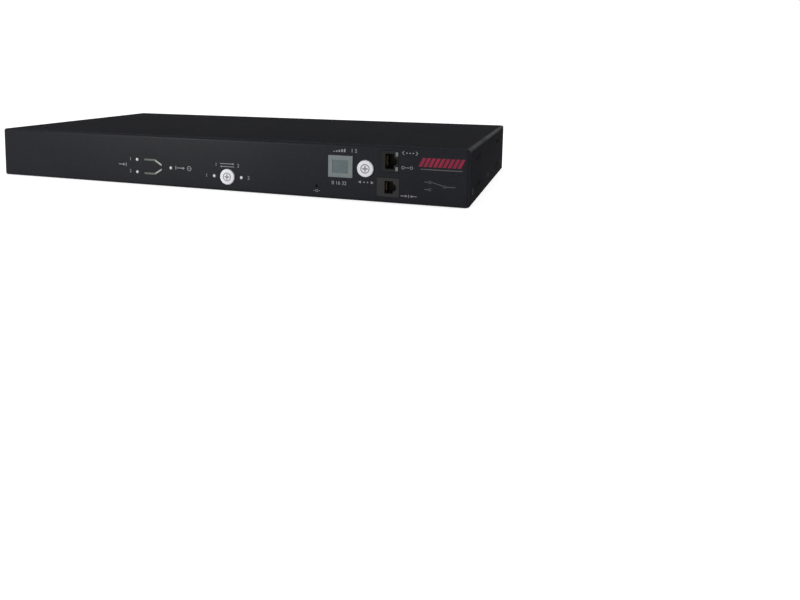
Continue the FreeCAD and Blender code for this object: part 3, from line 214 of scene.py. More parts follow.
def worn_bends(wiring, place, colour):
    """Painted highlight and rubbed wear: the coat is painted a little paler, in patches, along the cover's
    two long bends.
    """

    def close_to(face, reach):
        return wiring.ramp(reach, face - BEND_BAND, face - BEND_BAND / 3)

    spot = wiring.add("ShaderNodeSeparateXYZ", {"Vector": place}).outputs
    across = close_to(CASE_RIGHT, wiring.math("ABSOLUTE", spot["X"]))
    upward = close_to(CASE_TOP, spot["Z"])
    rubbed_and_lit = wiring.ramp(noise(wiring, place, WEAR_AND_SHEEN_SCALE, Detail=4.0), WEAR_AND_SHEEN_LOW, WEAR_AND_SHEEN_HIGH)
    share = wiring.math("MULTIPLY", wiring.math("MULTIPLY", across, upward), rubbed_and_lit)
    return wiring.mix(share, colour, WORN_AND_HIGHLIT_STEEL)


FRONT_SKIN = (0.2 * MM, 0.8 * MM)
MATT_ROUGHNESS = 0.95


def matt_behind_front(wiring, place, polish):
    """Only the flat front of the panel is smooth; its bends and the walls behind stay matt."""
    spot = wiring.add("ShaderNodeSeparateXYZ", {"Vector": place}).outputs
    behind = wiring.ramp(spot["Y"], PANEL_Y + FRONT_SKIN[0], PANEL_Y + FRONT_SKIN[1])
    return wiring.math("MAXIMUM", polish, wiring.math("MULTIPLY", behind, MATT_ROUGHNESS))


# Painted highlight on the light bars' slanted ends: its colour, where it starts and how far it blends
BAR_TIP_HIGHLIGHT = (0.33, 0.39, 0.32, 1)
BAR_LEVEL_LENGTH = 10.4 * MM
BAR_BLEND = 1.0 * MM


def bright_tips(wiring, place, colour):
    """Painted highlight: each light bar is painted paler over its slanted end."""
    bend_x = low_corner("light_bar_a").x + BAR_LEVEL_LENGTH
    spot = wiring.add("ShaderNodeSeparateXYZ", {"Vector": place}).outputs
    slanted = wiring.ramp(spot["X"], bend_x, bend_x + BAR_BLEND)
    return wiring.mix(slanted, colour, BAR_TIP_HIGHLIGHT)


# Height of the powder coat's pits and of its peaks, between which painted shade turns to painted light
GRAIN_LOW = 0.06
GRAIN_HIGH = 0.36


def speckled(wiring, height, colour, share):
    """Painted shade in the pits of a powder coat's grain, and painted light on its peaks."""
    level = wiring.add("ShaderNodeMapRange", {
        "Value": height, "From Min": GRAIN_LOW, "From Max": GRAIN_HIGH,
        "To Min": 1 - share, "To Max": 1 + share})
    return wiring.add("ShaderNodeVectorMath", {0: colour, 1: level.outputs["Result"]},
                      operation="MULTIPLY").outputs[0]


# Levels of the patches between which the colour changes, and between which the roughness does
PATCH_EDGES = (0.35, 0.65)
POLISH_EDGES = (0.3, 0.7)


def surface(name, effect, dark, light, roughness, *, scales, depth, metallic=0.0, specular=0.5,
            coat=0.0, grain_shade=0.0, change=None, rough_change=None):
    """A surface whose colour, roughness and height follow one of the shared effects."""
    material = bpy.data.materials.new(name)
    material.use_nodes = True
    tree = material.node_tree
    tree.nodes.clear()
    wiring = Wiring(tree)
    place = wiring.add("ShaderNodeTexCoord").outputs["Object"]
    grain = wiring.add("ShaderNodeGroup", node_tree=effect)
    tree.links.new(place, grain.inputs["Place"])
    grain.inputs["Grain Scale"].default_value = scales[0]
    grain.inputs["Patch Scale"].default_value = scales[1]
    patches = grain.outputs["Patches"]
    ramp = wiring.add("ShaderNodeValToRGB", {"Fac": patches})
    for element, edge, tint in zip(ramp.color_ramp.elements, PATCH_EDGES, (dark, light)):
        element.position = edge
        element.color = (*tint, 1)
    colour = ramp.outputs["Color"]
    # Painted shade in the grain's pits and painted light on its peaks
    if grain_shade:
        colour = speckled(wiring, grain.outputs["Height"], colour, grain_shade)
    if change:
        colour = change(wiring, place, colour)
    polish = wiring.add("ShaderNodeMapRange", {
        "Value": patches, "From Min": POLISH_EDGES[0], "From Max": POLISH_EDGES[1],
        "To Min": roughness[0], "To Max": roughness[1]}).outputs["Result"]
    if rough_change:
        polish = rough_change(wiring, place, polish)
    bump = wiring.add("ShaderNodeBump", {"Height": grain.outputs["Height"], "Strength": 1.0,
                                         "Distance": depth * MM})
    shader = wiring.add("ShaderNodeBsdfPrincipled", {
        "Base Color": colour, "Roughness": polish, "Normal": bump.outputs["Normal"],
        "Metallic": metallic, "Specular IOR Level": specular, "Coat Weight": coat})
    wiring.add("ShaderNodeOutputMaterial", {"Surface": shader.outputs[0]})
    return material


def plastic(name, dark, light, roughness, *, scales=(2400, 60), depth=0.015, **more):
    return surface(name, MOULDED, dark, light, roughness, scales=scales, depth=depth, **more)


def metal(name, dark, light, roughness, *, scales=(700, 160), depth=0.01, metallic=1.0, **more):
    return surface(name, PLATED, dark, light, roughness, scales=scales, depth=depth, metallic=metallic,
                   **more)


def gray(level):
    return (level, level, level * 1.03)


# One finish for each slot of the record
FINISHES = {
    # The black steel has painted shade in its grain's pits, and a painted highlight with rubbed wear along
    # the cover's bends
    "black_steel": surface("black_powder_coat", POWDER, (0.0069, 0.0072, 0.0089),
                           (0.0099, 0.0103, 0.0127), (0.80, 0.92), scales=(1400, 12), depth=0.03,
                           specular=0.012, grain_shade=0.6, change=worn_bends),
    "zinc_steel": metal("bright_zinc", (0.52, 0.52, 0.50), (0.68, 0.68, 0.66), (0.25, 0.42),
                        scales=(500, 120)),
    "black_screw": metal("blackened_steel", gray(0.010), gray(0.016), (0.6, 0.75), metallic=0.0,
                         specular=0.04),
    "white_cap": plastic("white_cap_plastic", gray(0.76), gray(0.83), (0.36, 0.46), depth=0.006,
                         specular=0.4),
    "switch_plastic": plastic("black_switch_plastic", gray(0.018), gray(0.03), (0.4, 0.55)),
    "lamp_lens": plastic("milky_lens", (0.60, 0.64, 0.61), (0.72, 0.76, 0.73), (0.16, 0.26),
                         scales=(1200, 160), depth=0.005, coat=0.3),
    # The light guide has a painted highlight on its slanted ends
    "light_bar": plastic("green_light_guide", (0.052, 0.056, 0.044), (0.070, 0.076, 0.062), (0.3, 0.4),
                         scales=(1500, 120), depth=0.01, change=bright_tips),
    "display_rim": plastic("grey_rim_plastic", (0.125, 0.150, 0.150), (0.155, 0.182, 0.180), (0.42, 0.52),
                           scales=(2200, 70)),
    "display_pane": plastic("tinted_pane", (0.072, 0.104, 0.113), (0.084, 0.120, 0.130), (0.2, 0.27),
                            scales=(900, 60), depth=0.003),
    "jack_plastic": plastic("black_jack_plastic", gray(0.009), gray(0.014), (0.46, 0.58), specular=0.12),
    "serial_plastic": plastic("grey_jack_plastic", gray(0.020), gray(0.028), (0.46, 0.58), specular=0.15),
    # Painted shade: the contacts are much darker than plated gold, for the shade inside the jacks
    "gold_contact": metal("shaded_gold_plate", (0.15, 0.10, 0.036), (0.21, 0.145, 0.056), (0.3, 0.45),
                          scales=(900, 300), depth=0.005),
    "brass_contact": metal("turned_brass", (0.56, 0.41, 0.18), (0.72, 0.56, 0.28), (0.24, 0.4)),
    "nickel_pin": metal("nickel_plate", (0.34, 0.335, 0.32), (0.46, 0.455, 0.435), (0.24, 0.40)),
    "board_green": plastic("green_board", (0.012, 0.07, 0.03), (0.02, 0.10, 0.05), (0.25, 0.4),
                           scales=(600, 90), depth=0.03),
    "socket_black": plastic("black_socket_plastic", gray(0.014), gray(0.024), (0.42, 0.56),
                            scales=(2000, 50), specular=0.4),
    "breaker_red": plastic("red_button_plastic", (0.42, 0.02, 0.015), (0.52, 0.03, 0.022), (0.25, 0.38)),
    "insulator": plastic("insulating_film", (0.50, 0.49, 0.42), (0.60, 0.59, 0.52), (0.3, 0.45),
                         scales=(800, 20)),
    "relay_case": plastic("relay_plastic", (0.02, 0.05, 0.14), (0.03, 0.07, 0.18), (0.3, 0.45)),
    "transformer_case": plastic("potted_case", gray(0.02), gray(0.035), (0.4, 0.6), depth=0.03),
    "capacitor_sleeve": plastic("shrink_sleeve", (0.02, 0.025, 0.06), (0.03, 0.035, 0.08), (0.25, 0.35)),
    "fuse_glass": plastic("fuse_tube", (0.60, 0.62, 0.62), (0.72, 0.74, 0.74), (0.08, 0.16), depth=0.005),
    "terminal_green": plastic("terminal_plastic", (0.03, 0.16, 0.06), (0.05, 0.22, 0.09), (0.35, 0.5)),
    "wire_black": plastic("wire_insulation", gray(0.012), gray(0.02), (0.35, 0.5)),
    "ribbon_grey": plastic("ribbon_insulation", gray(0.30), gray(0.38), (0.4, 0.5)),
}
# The panel coat has painted shade in its grain's pits and painted light on its peaks
PANEL_COAT = surface("black_panel_coat", POWDER, (0.0073, 0.0078, 0.0106), (0.0093, 0.0099, 0.0134),
                     (0.34, 0.40), scales=(1100, 12), depth=0.008, specular=0.11, grain_shade=0.25,
                     rough_change=matt_behind_front)
WHITE_INK = plastic("white_ink", gray(0.24), gray(0.30), (0.55, 0.7), depth=0.004, specular=0.2)
RED_INK = plastic("red_ink", (0.215, 0.012, 0.039), (0.265, 0.015, 0.048), (0.5, 0.62), depth=0.004,
                  specular=0.2)
GREY_INK = plastic("grey_ink", gray(0.22), gray(0.27), (0.5, 0.65), depth=0.004, specular=0.2)
DIM_INK = plastic("dim_ink", gray(0.085), gray(0.11), (0.5, 0.65), depth=0.004, specular=0.2)
UNLIT_SEGMENT = plastic("unlit_segment", (0.064, 0.093, 0.101), (0.074, 0.106, 0.115), (0.2, 0.27),
                        scales=(900, 60), depth=0.003)
JACK_LAMP = plastic("small_lamp_lens", (0.13, 0.14, 0.13), (0.17, 0.18, 0.17), (0.2, 0.3), depth=0.005)


# Nodes whose finish differs from the rest of their slot
OWN_FINISHES = {"chassis_tray": PANEL_COAT, "network_jack_lamps": JACK_LAMP}


def dress_cad_nodes():
    """Give every CAD node the finish of its slot in the record, or its own."""
    for entry in frame["record"]["subparts"]:
        node = entry["node"]
        slots = frame["nodes"][node].data.materials
        slots.clear()
        slots.append(OWN_FINISHES.get(node, FINISHES[entry["material_slot"]]))


# New pieces

SHARP_ANGLE = math.radians(35)


def add_piece(name, mesh, slot, body=CASE, finish=None, replaced=()):
    """A visible piece that moves with a body and takes the finish of one of the record's slots."""
    mesh.materials.clear()
    mesh.materials.append(finish or FINISHES[slot])
    piece = bpy.data.objects.new(name, mesh)
    scene.collection.objects.link(piece)
    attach(piece, body)
    if replaced:
        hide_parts(*replaced)
    return piece


def soften(mesh):
    mesh.shade_smooth()
    mesh.set_sharp_from_angle(angle=SHARP_ANGLE)
    return mesh


def as_mesh(shape, name):
    """A bmesh as a mesh whose faces point outwards."""
    bmesh.ops.recalc_face_normals(shape, faces=shape.faces)
    mesh = bpy.data.meshes.new(name)
    shape.to_mesh(mesh)
    shape.free()
    return soften(mesh)


def add_loft(shape, rings):
    """Faces from each ring of places to the next; a ring of one place closes an end."""
    made = [[shape.verts.new(place) for place in ring] for ring in rings]
    for near, far in zip(made, made[1:]):
        for step in range(max(len(near), len(far))):
            corners = [near[step % len(near)], near[(step + 1) % len(near)],
                       far[(step + 1) % len(far)], far[step % len(far)]]
            shape.faces.new(list(dict.fromkeys(corners)))
    return made


def circle(centre, radius, y, steps):
    """Places round an axis along Y."""
    if radius == 0:
        return [Vector((centre.x, y, centre.z))]
    turns = [2 * math.pi * step / steps for step in range(steps)]
    return [Vector((centre.x + radius * math.cos(turn), y, centre.z + radius * math.sin(turn)))
            for turn in turns]


def lathed(name, centres, profile, steps=64):
    """Closed turned pieces along Y, from (radius, y) corners that start and end on the axis."""
    shape = bmesh.new()
    for centre in centres:
        add_loft(shape, [circle(centre, radius, y, steps) for radius, y in profile])
    return as_mesh(shape, name)


def rounded_corner(radius, y, edge, steps=6):
    """(radius, y) places round a convex corner between a face at y and the side behind it."""
    turns = [math.pi / 2 * step / steps for step in range(steps + 1)]
    return [(radius - edge + edge * math.sin(turn), y + edge - edge * math.cos(turn)) for turn in turns]


# Push buttons

CAP_EDGE = 0.7 * MM
CAP_SINK = 0.06 * MM
COLLAR_WIDTH = 1.2 * MM
COLLAR_DEPTH = 1.2 * MM
COLLAR_FRONT = PANEL_Y + 1.5 * MM
STEM_RADIUS = 2.2 * MM
KEYS = {"preference": "preference_key", "select": "select_key"}


def add_buttons():
    """White caps with a rounded rim, each with a ring and a cross printed on its face."""
    for name, body in KEYS.items():
        node = f"{name}_button"
        centre = middle(node)
        face = low_corner(node).y + CAP_SINK
        back = high_corner(node).y
        collar_radius = high_corner(node).x - centre.x
        cap_radius = collar_radius - COLLAR_WIDTH
        profile = [(0, face), *rounded_corner(cap_radius, face, CAP_EDGE), (cap_radius, COLLAR_FRONT),
                   (collar_radius, COLLAR_FRONT), (collar_radius, COLLAR_FRONT + COLLAR_DEPTH),
                   (STEM_RADIUS, COLLAR_FRONT + COLLAR_DEPTH), (STEM_RADIUS, back), (0, back)]
        add_piece(f"{name}_cap", lathed(f"{name}_cap", [centre], profile), "white_cap", body,
                  replaced=(node,))
        emblem = printed_mesh(f"{name}_emblem", [(centre.x, centre.z, EMBLEM)], face, to_front)
        add_piece(f"{name}_emblem", emblem, "white_cap", body, GREY_INK)


# Breaker buttons

KNOB_EDGE = 0.5 * MM
KNOB_DISH = 0.5 * MM
KNOB_DISH_RADIUS = 2.0 * MM
# Share of the dish's radius and depth at which it gets flatter
KNOB_DISH_STEP = 0.7


def add_breaker_knobs():
    """Red buttons with a rounded rim and a dished end."""
    for number in (1, 2):
        node = f"breaker_button_{number}"
        centre = middle(node)
        radius = high_corner(node).x - centre.x
        front, end = low_corner(node).y, high_corner(node).y
        rim = [(r, front + end - y) for r, y in reversed(rounded_corner(radius, front, KNOB_EDGE))]
        profile = [(0, front), (radius, front), *rim, (KNOB_DISH_RADIUS, end),
                   (KNOB_DISH_RADIUS * KNOB_DISH_STEP, end - KNOB_DISH * KNOB_DISH_STEP),
                   (0, end - KNOB_DISH)]
        add_piece(f"breaker_knob_{number}", lathed(f"breaker_knob_{number}", [centre], profile),
                  "breaker_red", f"breaker_reset_{number}", replaced=(node,))


# Indicator lamps

LAMP_RIM = 0.4 * MM
LAMP_RIM_HEIGHT = 1.0 * MM
LAMP_DOME_STEPS = 10
LAMP_STEPS = 40


def lamp_profile(tip, back, radius):
    """A dome over a straight body that ends in a wider rim behind."""
    turns = [math.pi / 2 * step / LAMP_DOME_STEPS for step in range(LAMP_DOME_STEPS + 1)]
    dome = [(radius * math.sin(turn), tip + radius * (1 - math.cos(turn))) for turn in turns]
    rim_front = back - LAMP_RIM_HEIGHT
    rim_radius = radius + LAMP_RIM
    return [*dome, (radius, rim_front), (rim_radius, rim_front), (rim_radius, back), (0, back)]


def add_lamps():
    """Smooth domed lenses in place of the solids' few-sided ones."""
    output = "output_lamp"
    rim_radius = high_corner(output).x - middle(output).x
    tip, back = low_corner(output).y, high_corner(output).y
    profile = lamp_profile(tip, back, rim_radius - LAMP_RIM)
    for node in ("input_lamps", output, "preference_lamps"):
        low, high = low_corner(node), high_corner(node)
        reach = Vector((rim_radius, 0, rim_radius))
        ends = [low + reach, high - reach]
        centres = ends if (ends[1] - ends[0]).xz.length > rim_radius else [middle(node)]
        add_piece(f"{node}_lens", lathed(f"{node}_lens", centres, profile, LAMP_STEPS), "lamp_lens",
                  replaced=(node,))


# Nuts and threads behind

NUT_STEPS = 72
NUT_CHAMFER = math.tan(math.radians(30))
HEX_TURN = math.pi / 3


def hex_reach(apothem, turn):
    """How far a hexagon with corners on the X axis reaches in a direction."""
    return apothem / math.cos((turn % HEX_TURN) - HEX_TURN / 2)


def hexagon(centre, apothem, y, steps):
    """Places round a hexagon about an axis along Y."""
    turns = [2 * math.pi * step / steps for step in range(steps)]
    return [Vector((centre.x + hex_reach(apothem, turn) * math.cos(turn), y,
                    centre.z + hex_reach(apothem, turn) * math.sin(turn))) for turn in turns]


def add_nut(shape, centre, apothem, bore, start, stop):
    """A six-sided nut along Y whose corners are turned off at both ends."""
    turns = [2 * math.pi * step / NUT_STEPS for step in range(NUT_STEPS)]

    def ring(reach, y):
        return [Vector((centre.x + reach(turn)[0] * math.cos(turn), y + reach(turn)[1],
                        centre.z + reach(turn)[0] * math.sin(turn))) for turn in turns]

    def corner(turn, side):
        out = hex_reach(apothem, turn)
        return out, side * (out - apothem) * NUT_CHAMFER

    rings = [ring(lambda turn: (bore, 0), start), ring(lambda turn: (apothem, 0), start),
             ring(lambda turn: corner(turn, 1), start), ring(lambda turn: corner(turn, -1), stop),
             ring(lambda turn: (apothem, 0), stop), ring(lambda turn: (bore, 0), stop)]
    made = add_loft(shape, rings)
    for step in range(NUT_STEPS):
        after = (step + 1) % NUT_STEPS
        shape.faces.new([made[-1][step], made[-1][after], made[0][after], made[0][step]])


THREAD_STEPS = 48
RINGS_PER_PITCH = 8
# A thread's depth as a share of its pitch
THREAD_DEPTH = 0.55


def thread_rings(centre, radius, pitch, start, stop):
    """Rings of a screw thread along Y that fades out over its last pitch."""
    depth = pitch * THREAD_DEPTH
    count = round((stop - start) / pitch * RINGS_PER_PITCH)
    rings = []
    for number in range(count + 1):
        y = start + (stop - start) * number / count
        fade = min(1, (stop - y) / pitch)
        ring = []
        for step in range(THREAD_STEPS):
            share = step / THREAD_STEPS
            phase = (y / pitch - share) % 1
            cut = depth * (abs(2 * phase - 1) * fade + 1 - fade)
            turn = 2 * math.pi * share
            reach = radius - cut
            ring.append(Vector((centre.x + reach * math.cos(turn), y, centre.z + reach * math.sin(turn))))
        rings.append(ring)
    return rings


STUD_RADIUS = 2.0 * MM
STUD_PITCH = 0.7 * MM
# The flat tip's radius as a share of the thread's root
STUD_TIP = 0.6
STUD_HEAD_HEIGHT = 2.5 * MM
STUD_HEAD_APOTHEM = 3.5 * MM
STUD_NUT_APOTHEM = 3.5 * MM
BREAKER_NUT_APOTHEM = 7.0 * MM
NECK_RADIUS = 4.7 * MM
NECK_BORE = 3.1 * MM
NECK_PITCH = 0.6 * MM


def add_earth_stud():
    """A hexagon head inside the wall, and a threaded shank through it."""
    spot = middle("earth_stud")
    start, end = low_corner("earth_stud").y, high_corner("earth_stud").y
    shank_start = start + STUD_HEAD_HEIGHT
    tip_radius = (STUD_RADIUS - STUD_PITCH * THREAD_DEPTH) * STUD_TIP
    shape = bmesh.new()
    add_loft(shape, [circle(spot, 0, start, THREAD_STEPS),
                     hexagon(spot, STUD_HEAD_APOTHEM, start, THREAD_STEPS),
                     hexagon(spot, STUD_HEAD_APOTHEM, shank_start, THREAD_STEPS),
                     *thread_rings(spot, STUD_RADIUS, STUD_PITCH, shank_start, end),
                     circle(spot, tip_radius, end, THREAD_STEPS),
                     circle(spot, 0, end, THREAD_STEPS)])
    add_piece("earth_threaded_stud", as_mesh(shape, "earth_threaded_stud"), "brass_contact",
              replaced=("earth_stud",))


def add_earth_nut():
    start, stop = low_corner("earth_nut").y, high_corner("earth_nut").y
    shape = bmesh.new()
    add_nut(shape, middle("earth_nut"), STUD_NUT_APOTHEM, STUD_RADIUS, start, stop)
    add_piece("earth_hex_nut", as_mesh(shape, "earth_hex_nut"), "brass_contact",
              replaced=("earth_nut",))


def add_breaker_fasteners():
    """A nut on each breaker's neck, and a thread on the neck's free end."""
    nuts = bmesh.new()
    sleeves = bmesh.new()
    start, stop = low_corner("breaker_nuts").y, high_corner("breaker_nuts").y
    crest = NECK_RADIUS + NECK_PITCH * THREAD_DEPTH
    for number in (1, 2):
        centre = middle(f"breaker_button_{number}")
        neck_end = high_corner(f"breaker_{number}").y
        add_nut(nuts, centre, BREAKER_NUT_APOTHEM, NECK_RADIUS, start, stop)
        add_loft(sleeves, [circle(centre, NECK_BORE, stop, THREAD_STEPS),
                           *thread_rings(centre, crest, NECK_PITCH, stop, neck_end),
                           circle(centre, NECK_BORE, neck_end, THREAD_STEPS)])
    add_piece("breaker_hex_nuts", as_mesh(nuts, "breaker_hex_nuts"), "nickel_pin",
              replaced=("breaker_nuts",))
    add_piece("breaker_neck_threads", as_mesh(sleeves, "breaker_neck_threads"), "nickel_pin")


# Cover screws, by a tree that puts a recessed screw on each point

HEAD_RADIUS = 2.7 * MM
HEAD_DEPTH = 0.9 * MM
SCREW_RADIUS = 1.5 * MM
SCREW_LENGTH = 6.0 * MM
RECESS_LONG = 2.8 * MM
RECESS_SHORT = 0.75 * MM
RECESS_DEPTH = 1.1 * MM
TOP_SCREW_PITCH = 180 * MM
SCREW_SIDES = 40
SCREW_SEED = 4


def recessed_screw_tree():
    """A countersunk screw with a cross recess, stood on every point along its attribute way."""
    tree = bpy.data.node_groups.new("recessed_screws", "GeometryNodeTree")
    sockets = {"Geometry": tree.interface.new_socket("Geometry", in_out="INPUT",
                                                     socket_type="NodeSocketGeometry")}
    for word in ("Head Radius", "Head Depth", "Shank Radius", "Shank Length", "Recess Long", "Recess Short",
                 "Recess Depth"):
        sockets[word] = tree.interface.new_socket(word, in_out="INPUT", socket_type="NodeSocketFloat")
    sockets["Seed"] = tree.interface.new_socket("Seed", in_out="INPUT", socket_type="NodeSocketInt")
    sockets["Material"] = tree.interface.new_socket("Material", in_out="INPUT",
                                                    socket_type="NodeSocketMaterial")
    tree.interface.new_socket("Geometry", in_out="OUTPUT", socket_type="NodeSocketGeometry")
    wiring = Wiring(tree)
    given = wiring.add("NodeGroupInput").outputs

    def moved_down(geometry, distance):
        drop = wiring.add("ShaderNodeCombineXYZ", {"Z": wiring.math("MULTIPLY", distance, -1.0)})
        return wiring.add("GeometryNodeTransform", {"Geometry": geometry,
                                                    "Translation": drop.outputs[0]}).outputs[0]

    head = wiring.add("GeometryNodeMeshCone", {
        "Vertices": SCREW_SIDES, "Radius Top": given["Head Radius"],
        "Radius Bottom": given["Shank Radius"], "Depth": given["Head Depth"]})
    shank = wiring.add("GeometryNodeMeshCylinder", {
        "Vertices": SCREW_SIDES, "Radius": given["Shank Radius"], "Depth": given["Shank Length"]})
    half_shank = wiring.math("MULTIPLY", given["Shank Length"], 0.5)
    half_head = wiring.math("MULTIPLY", given["Head Depth"], 0.5)
    body = wiring.add("GeometryNodeMeshBoolean", operation="UNION", solver="EXACT")
    for part in (moved_down(head.outputs["Mesh"], given["Head Depth"]),
                 moved_down(shank.outputs["Mesh"], wiring.math("ADD", half_shank, half_head))):
        tree.links.new(part, body.inputs["Mesh 2"])
    cross = wiring.add("GeometryNodeJoinGeometry")
    depth = wiring.math("MULTIPLY", given["Recess Depth"], 2.0)
    for sizes in (("Recess Long", "Recess Short"), ("Recess Short", "Recess Long")):
        size = wiring.add("ShaderNodeCombineXYZ", {"X": given[sizes[0]], "Y": given[sizes[1]], "Z": depth})
        slot = wiring.add("GeometryNodeMeshCube", {"Size": size.outputs[0]})
        tree.links.new(slot.outputs["Mesh"], cross.inputs[0])
    screw = wiring.add("GeometryNodeMeshBoolean", {"Mesh 1": body.outputs["Mesh"],
                                                   "Mesh 2": cross.outputs[0]},
                       operation="DIFFERENCE", solver="EXACT")
    screw.inputs["Self Intersection"].default_value = True
    way = wiring.add("GeometryNodeInputNamedAttribute", {"Name": "way"}, data_type="FLOAT_VECTOR")
    upright = wiring.add("FunctionNodeAlignRotationToVector", {"Vector": way.outputs["Attribute"]},
                         axis="Z")
    # Sockets 2 and 3 are the least and the greatest number, and socket 8 is the seed
    turn = wiring.add("FunctionNodeRandomValue", {2: 0.0, 3: math.pi / 2, 8: given["Seed"]},
                      data_type="FLOAT")
    spin = wiring.add("FunctionNodeAxisAngleToRotation", {"Angle": turn.outputs[1]})
    turned = wiring.add("FunctionNodeRotateRotation", {"Rotation": upright.outputs[0],
                                                       "Rotate By": spin.outputs[0]},
                        rotation_space="LOCAL")
    placed = wiring.add("GeometryNodeInstanceOnPoints", {"Points": given["Geometry"],
                                                         "Instance": screw.outputs["Mesh"],
                                                         "Rotation": turned.outputs[0]})
    solid = wiring.add("GeometryNodeRealizeInstances", {"Geometry": placed.outputs[0]})
    dressed = wiring.add("GeometryNodeSetMaterial", {"Geometry": solid.outputs[0],
                                                     "Material": given["Material"]})
    wiring.add("NodeGroupOutput", {"Geometry": dressed.outputs[0]})
    return tree, sockets


def screw_points():
    """Where the cover screws' heads end, and which way each faces."""
    low, high = low_corner("cover_screws"), high_corner("cover_screws")
    front, side_z = low.y + HEAD_RADIUS, low.z + HEAD_RADIUS
    points = [(Vector((side * CASE_RIGHT, y, side_z)), Vector((side, 0, 0)))
              for side in (-1, 1) for y in (front, 0, -front)]
    points += [(Vector((step * TOP_SCREW_PITCH, high.y - HEAD_RADIUS, CASE_TOP)), Vector((0, 0, 1)))
               for step in (-1, 0, 1)]
    return points


def add_cover_screws():
    tree, sockets = recessed_screw_tree()
    points = screw_points()
    base = bpy.data.meshes.new("screw_points")
    base.from_pydata([place for place, _ in points], [], [])
    way = base.attributes.new("way", "FLOAT_VECTOR", "POINT")
    for number, (_, direction) in enumerate(points):
        way.data[number].vector = direction
    holder = bpy.data.objects.new("screw_points", base)
    scene.collection.objects.link(holder)
    modifier = holder.modifiers.new("screws", "NODES")
    modifier.node_group = tree
    values = {"Head Radius": HEAD_RADIUS, "Head Depth": HEAD_DEPTH, "Shank Radius": SCREW_RADIUS,
              "Shank Length": SCREW_LENGTH - HEAD_DEPTH, "Recess Long": RECESS_LONG,
              "Recess Short": RECESS_SHORT, "Recess Depth": RECESS_DEPTH, "Seed": SCREW_SEED,
              "Material": FINISHES["black_screw"]}
    for word, value in values.items():
        modifier[sockets[word].identifier] = value
    mesh = evaluated_mesh(holder)
    bpy.data.objects.remove(holder)
    add_piece("recessed_cover_screws", soften(mesh), "black_screw", replaced=("cover_screws",))


def evaluated_mesh(holder):
    bpy.context.view_layer.update()
    graph = bpy.context.evaluated_depsgraph_get()
    return bpy.data.meshes.new_from_object(holder.evaluated_get(graph))


# Printed marks: thin flat shapes on the panel, the rear fittings and the buttons.
# Their outlines are in millimetres about each mark's own centre.

INK_DEPTH = 0.04
MERGE_REACH = 0.0005
# A figure's height as a share of the type's size
FIGURE_SHARE = 0.7
FIGURE_BOLDNESS = 0.03
FIGURE_CURVE_STEPS = 4
# Lengths of an arrow's head and of a chevron's stroke along the line, over the sizes across
ARROW_LENGTH = 1.6
CHEVRON_SPREAD = 1.3


def rectangle(x0, y0, x1, y1):
    return [(x0, y0), (x1, y0), (x1, y1), (x0, y1)]


def disc(x, y, radius, steps=28):
    turns = [2 * math.pi * step / steps for step in range(steps)]
    return [(x + radius * math.cos(turn), y + radius * math.sin(turn)) for turn in turns]


def ring(x, y, radius, stroke):
    return [disc(x, y, radius), disc(x, y, radius - stroke)]


def line(x0, y0, x1, y1, stroke):
    """A straight stroke between two places."""
    length = math.hypot(x1 - x0, y1 - y0)
    dx, dy = (y0 - y1) / length * stroke / 2, (x1 - x0) / length * stroke / 2
    return [(x0 + dx, y0 + dy), (x0 - dx, y0 - dy), (x1 - dx, y1 - dy), (x1 + dx, y1 + dy)]


def arrow(x0, x1, y, stroke=0.7, head=1.3):
    """A level arrow from x0 to x1."""
    back = x1 - math.copysign(ARROW_LENGTH * head, x1 - x0)
    half = stroke / 2
    return [(x0, y - half), (back, y - half), (back, y - head), (x1, y), (back, y + head), (back, y + half),
            (x0, y + half)]


def chevron(tip, back, height, stroke):
    """A sharp bracket whose tip points away from its open side."""
    shift = math.copysign(stroke * CHEVRON_SPREAD, back - tip)
    return [(tip, 0), (back, height), (back + shift, height), (tip + shift, 0), (back + shift, -height),
            (back, -height)]


def cross_outline(arm, stroke):
    half = stroke / 2
    return [(-arm, -half), (-half, -half), (-half, -arm), (half, -arm), (half, -half), (arm, -half),
            (arm, half), (half, half), (half, arm), (-half, arm), (-half, half), (-arm, half)]


UPRIGHT = Matrix.Rotation(math.pi / 2, 4, "X")
ABOUT_FACE = Matrix.Rotation(math.pi, 4, "Z")


def to_front(x, z, y):
    """Places a flat shape on a face that looks to -Y, read from the front."""
    return Matrix.Translation((x, y, z)) @ UPRIGHT


def to_rear(x, z, y):
    """Places a flat shape on a face that looks to +Y, read from behind."""
    return Matrix.Translation((x, y, z)) @ ABOUT_FACE @ UPRIGHT


def outline_curve(outlines):
    data = bpy.data.curves.new("mark", "CURVE")
    for outline in outlines:
        spline = data.splines.new("POLY")
        spline.points.add(len(outline) - 1)
        for point, (x, y) in zip(spline.points, outline):
            point.co = (x, y, 0, 1)
        spline.use_cyclic_u = True
    return data


def number_curve(words, height):
    data = bpy.data.curves.new("number", "FONT")
    data.body = words
    data.size = height / FIGURE_SHARE
    data.align_x = "CENTER"
    data.align_y = "CENTER"
    data.resolution_u = FIGURE_CURVE_STEPS
    data.offset = FIGURE_BOLDNESS
    return data


def printed_mesh(name, marks, y, onto):
    """One mesh of flat marks; each mark is (x, z, outlines) or (x, z, (words, height))."""
    joined = bmesh.new()
    for x, z, mark in marks:
        is_number = isinstance(mark[0], str)
        data = number_curve(*mark) if is_number else outline_curve(mark)
        data.dimensions = "2D"
        data.fill_mode = "BOTH"
        data.extrude = INK_DEPTH / 2
        holder = bpy.data.objects.new("mark", data)
        scene.collection.objects.link(holder)
        mesh = evaluated_mesh(holder)
        mesh.transform(onto(x, z, y) @ Matrix.Scale(MM, 4))
        joined.from_mesh(mesh)
        bpy.data.objects.remove(holder)
        bpy.data.meshes.remove(mesh)
    bmesh.ops.remove_doubles(joined, verts=joined.verts, dist=MERGE_REACH * MM)
    mesh = bpy.data.meshes.new(name)
    joined.to_mesh(mesh)
    joined.free()
    return mesh


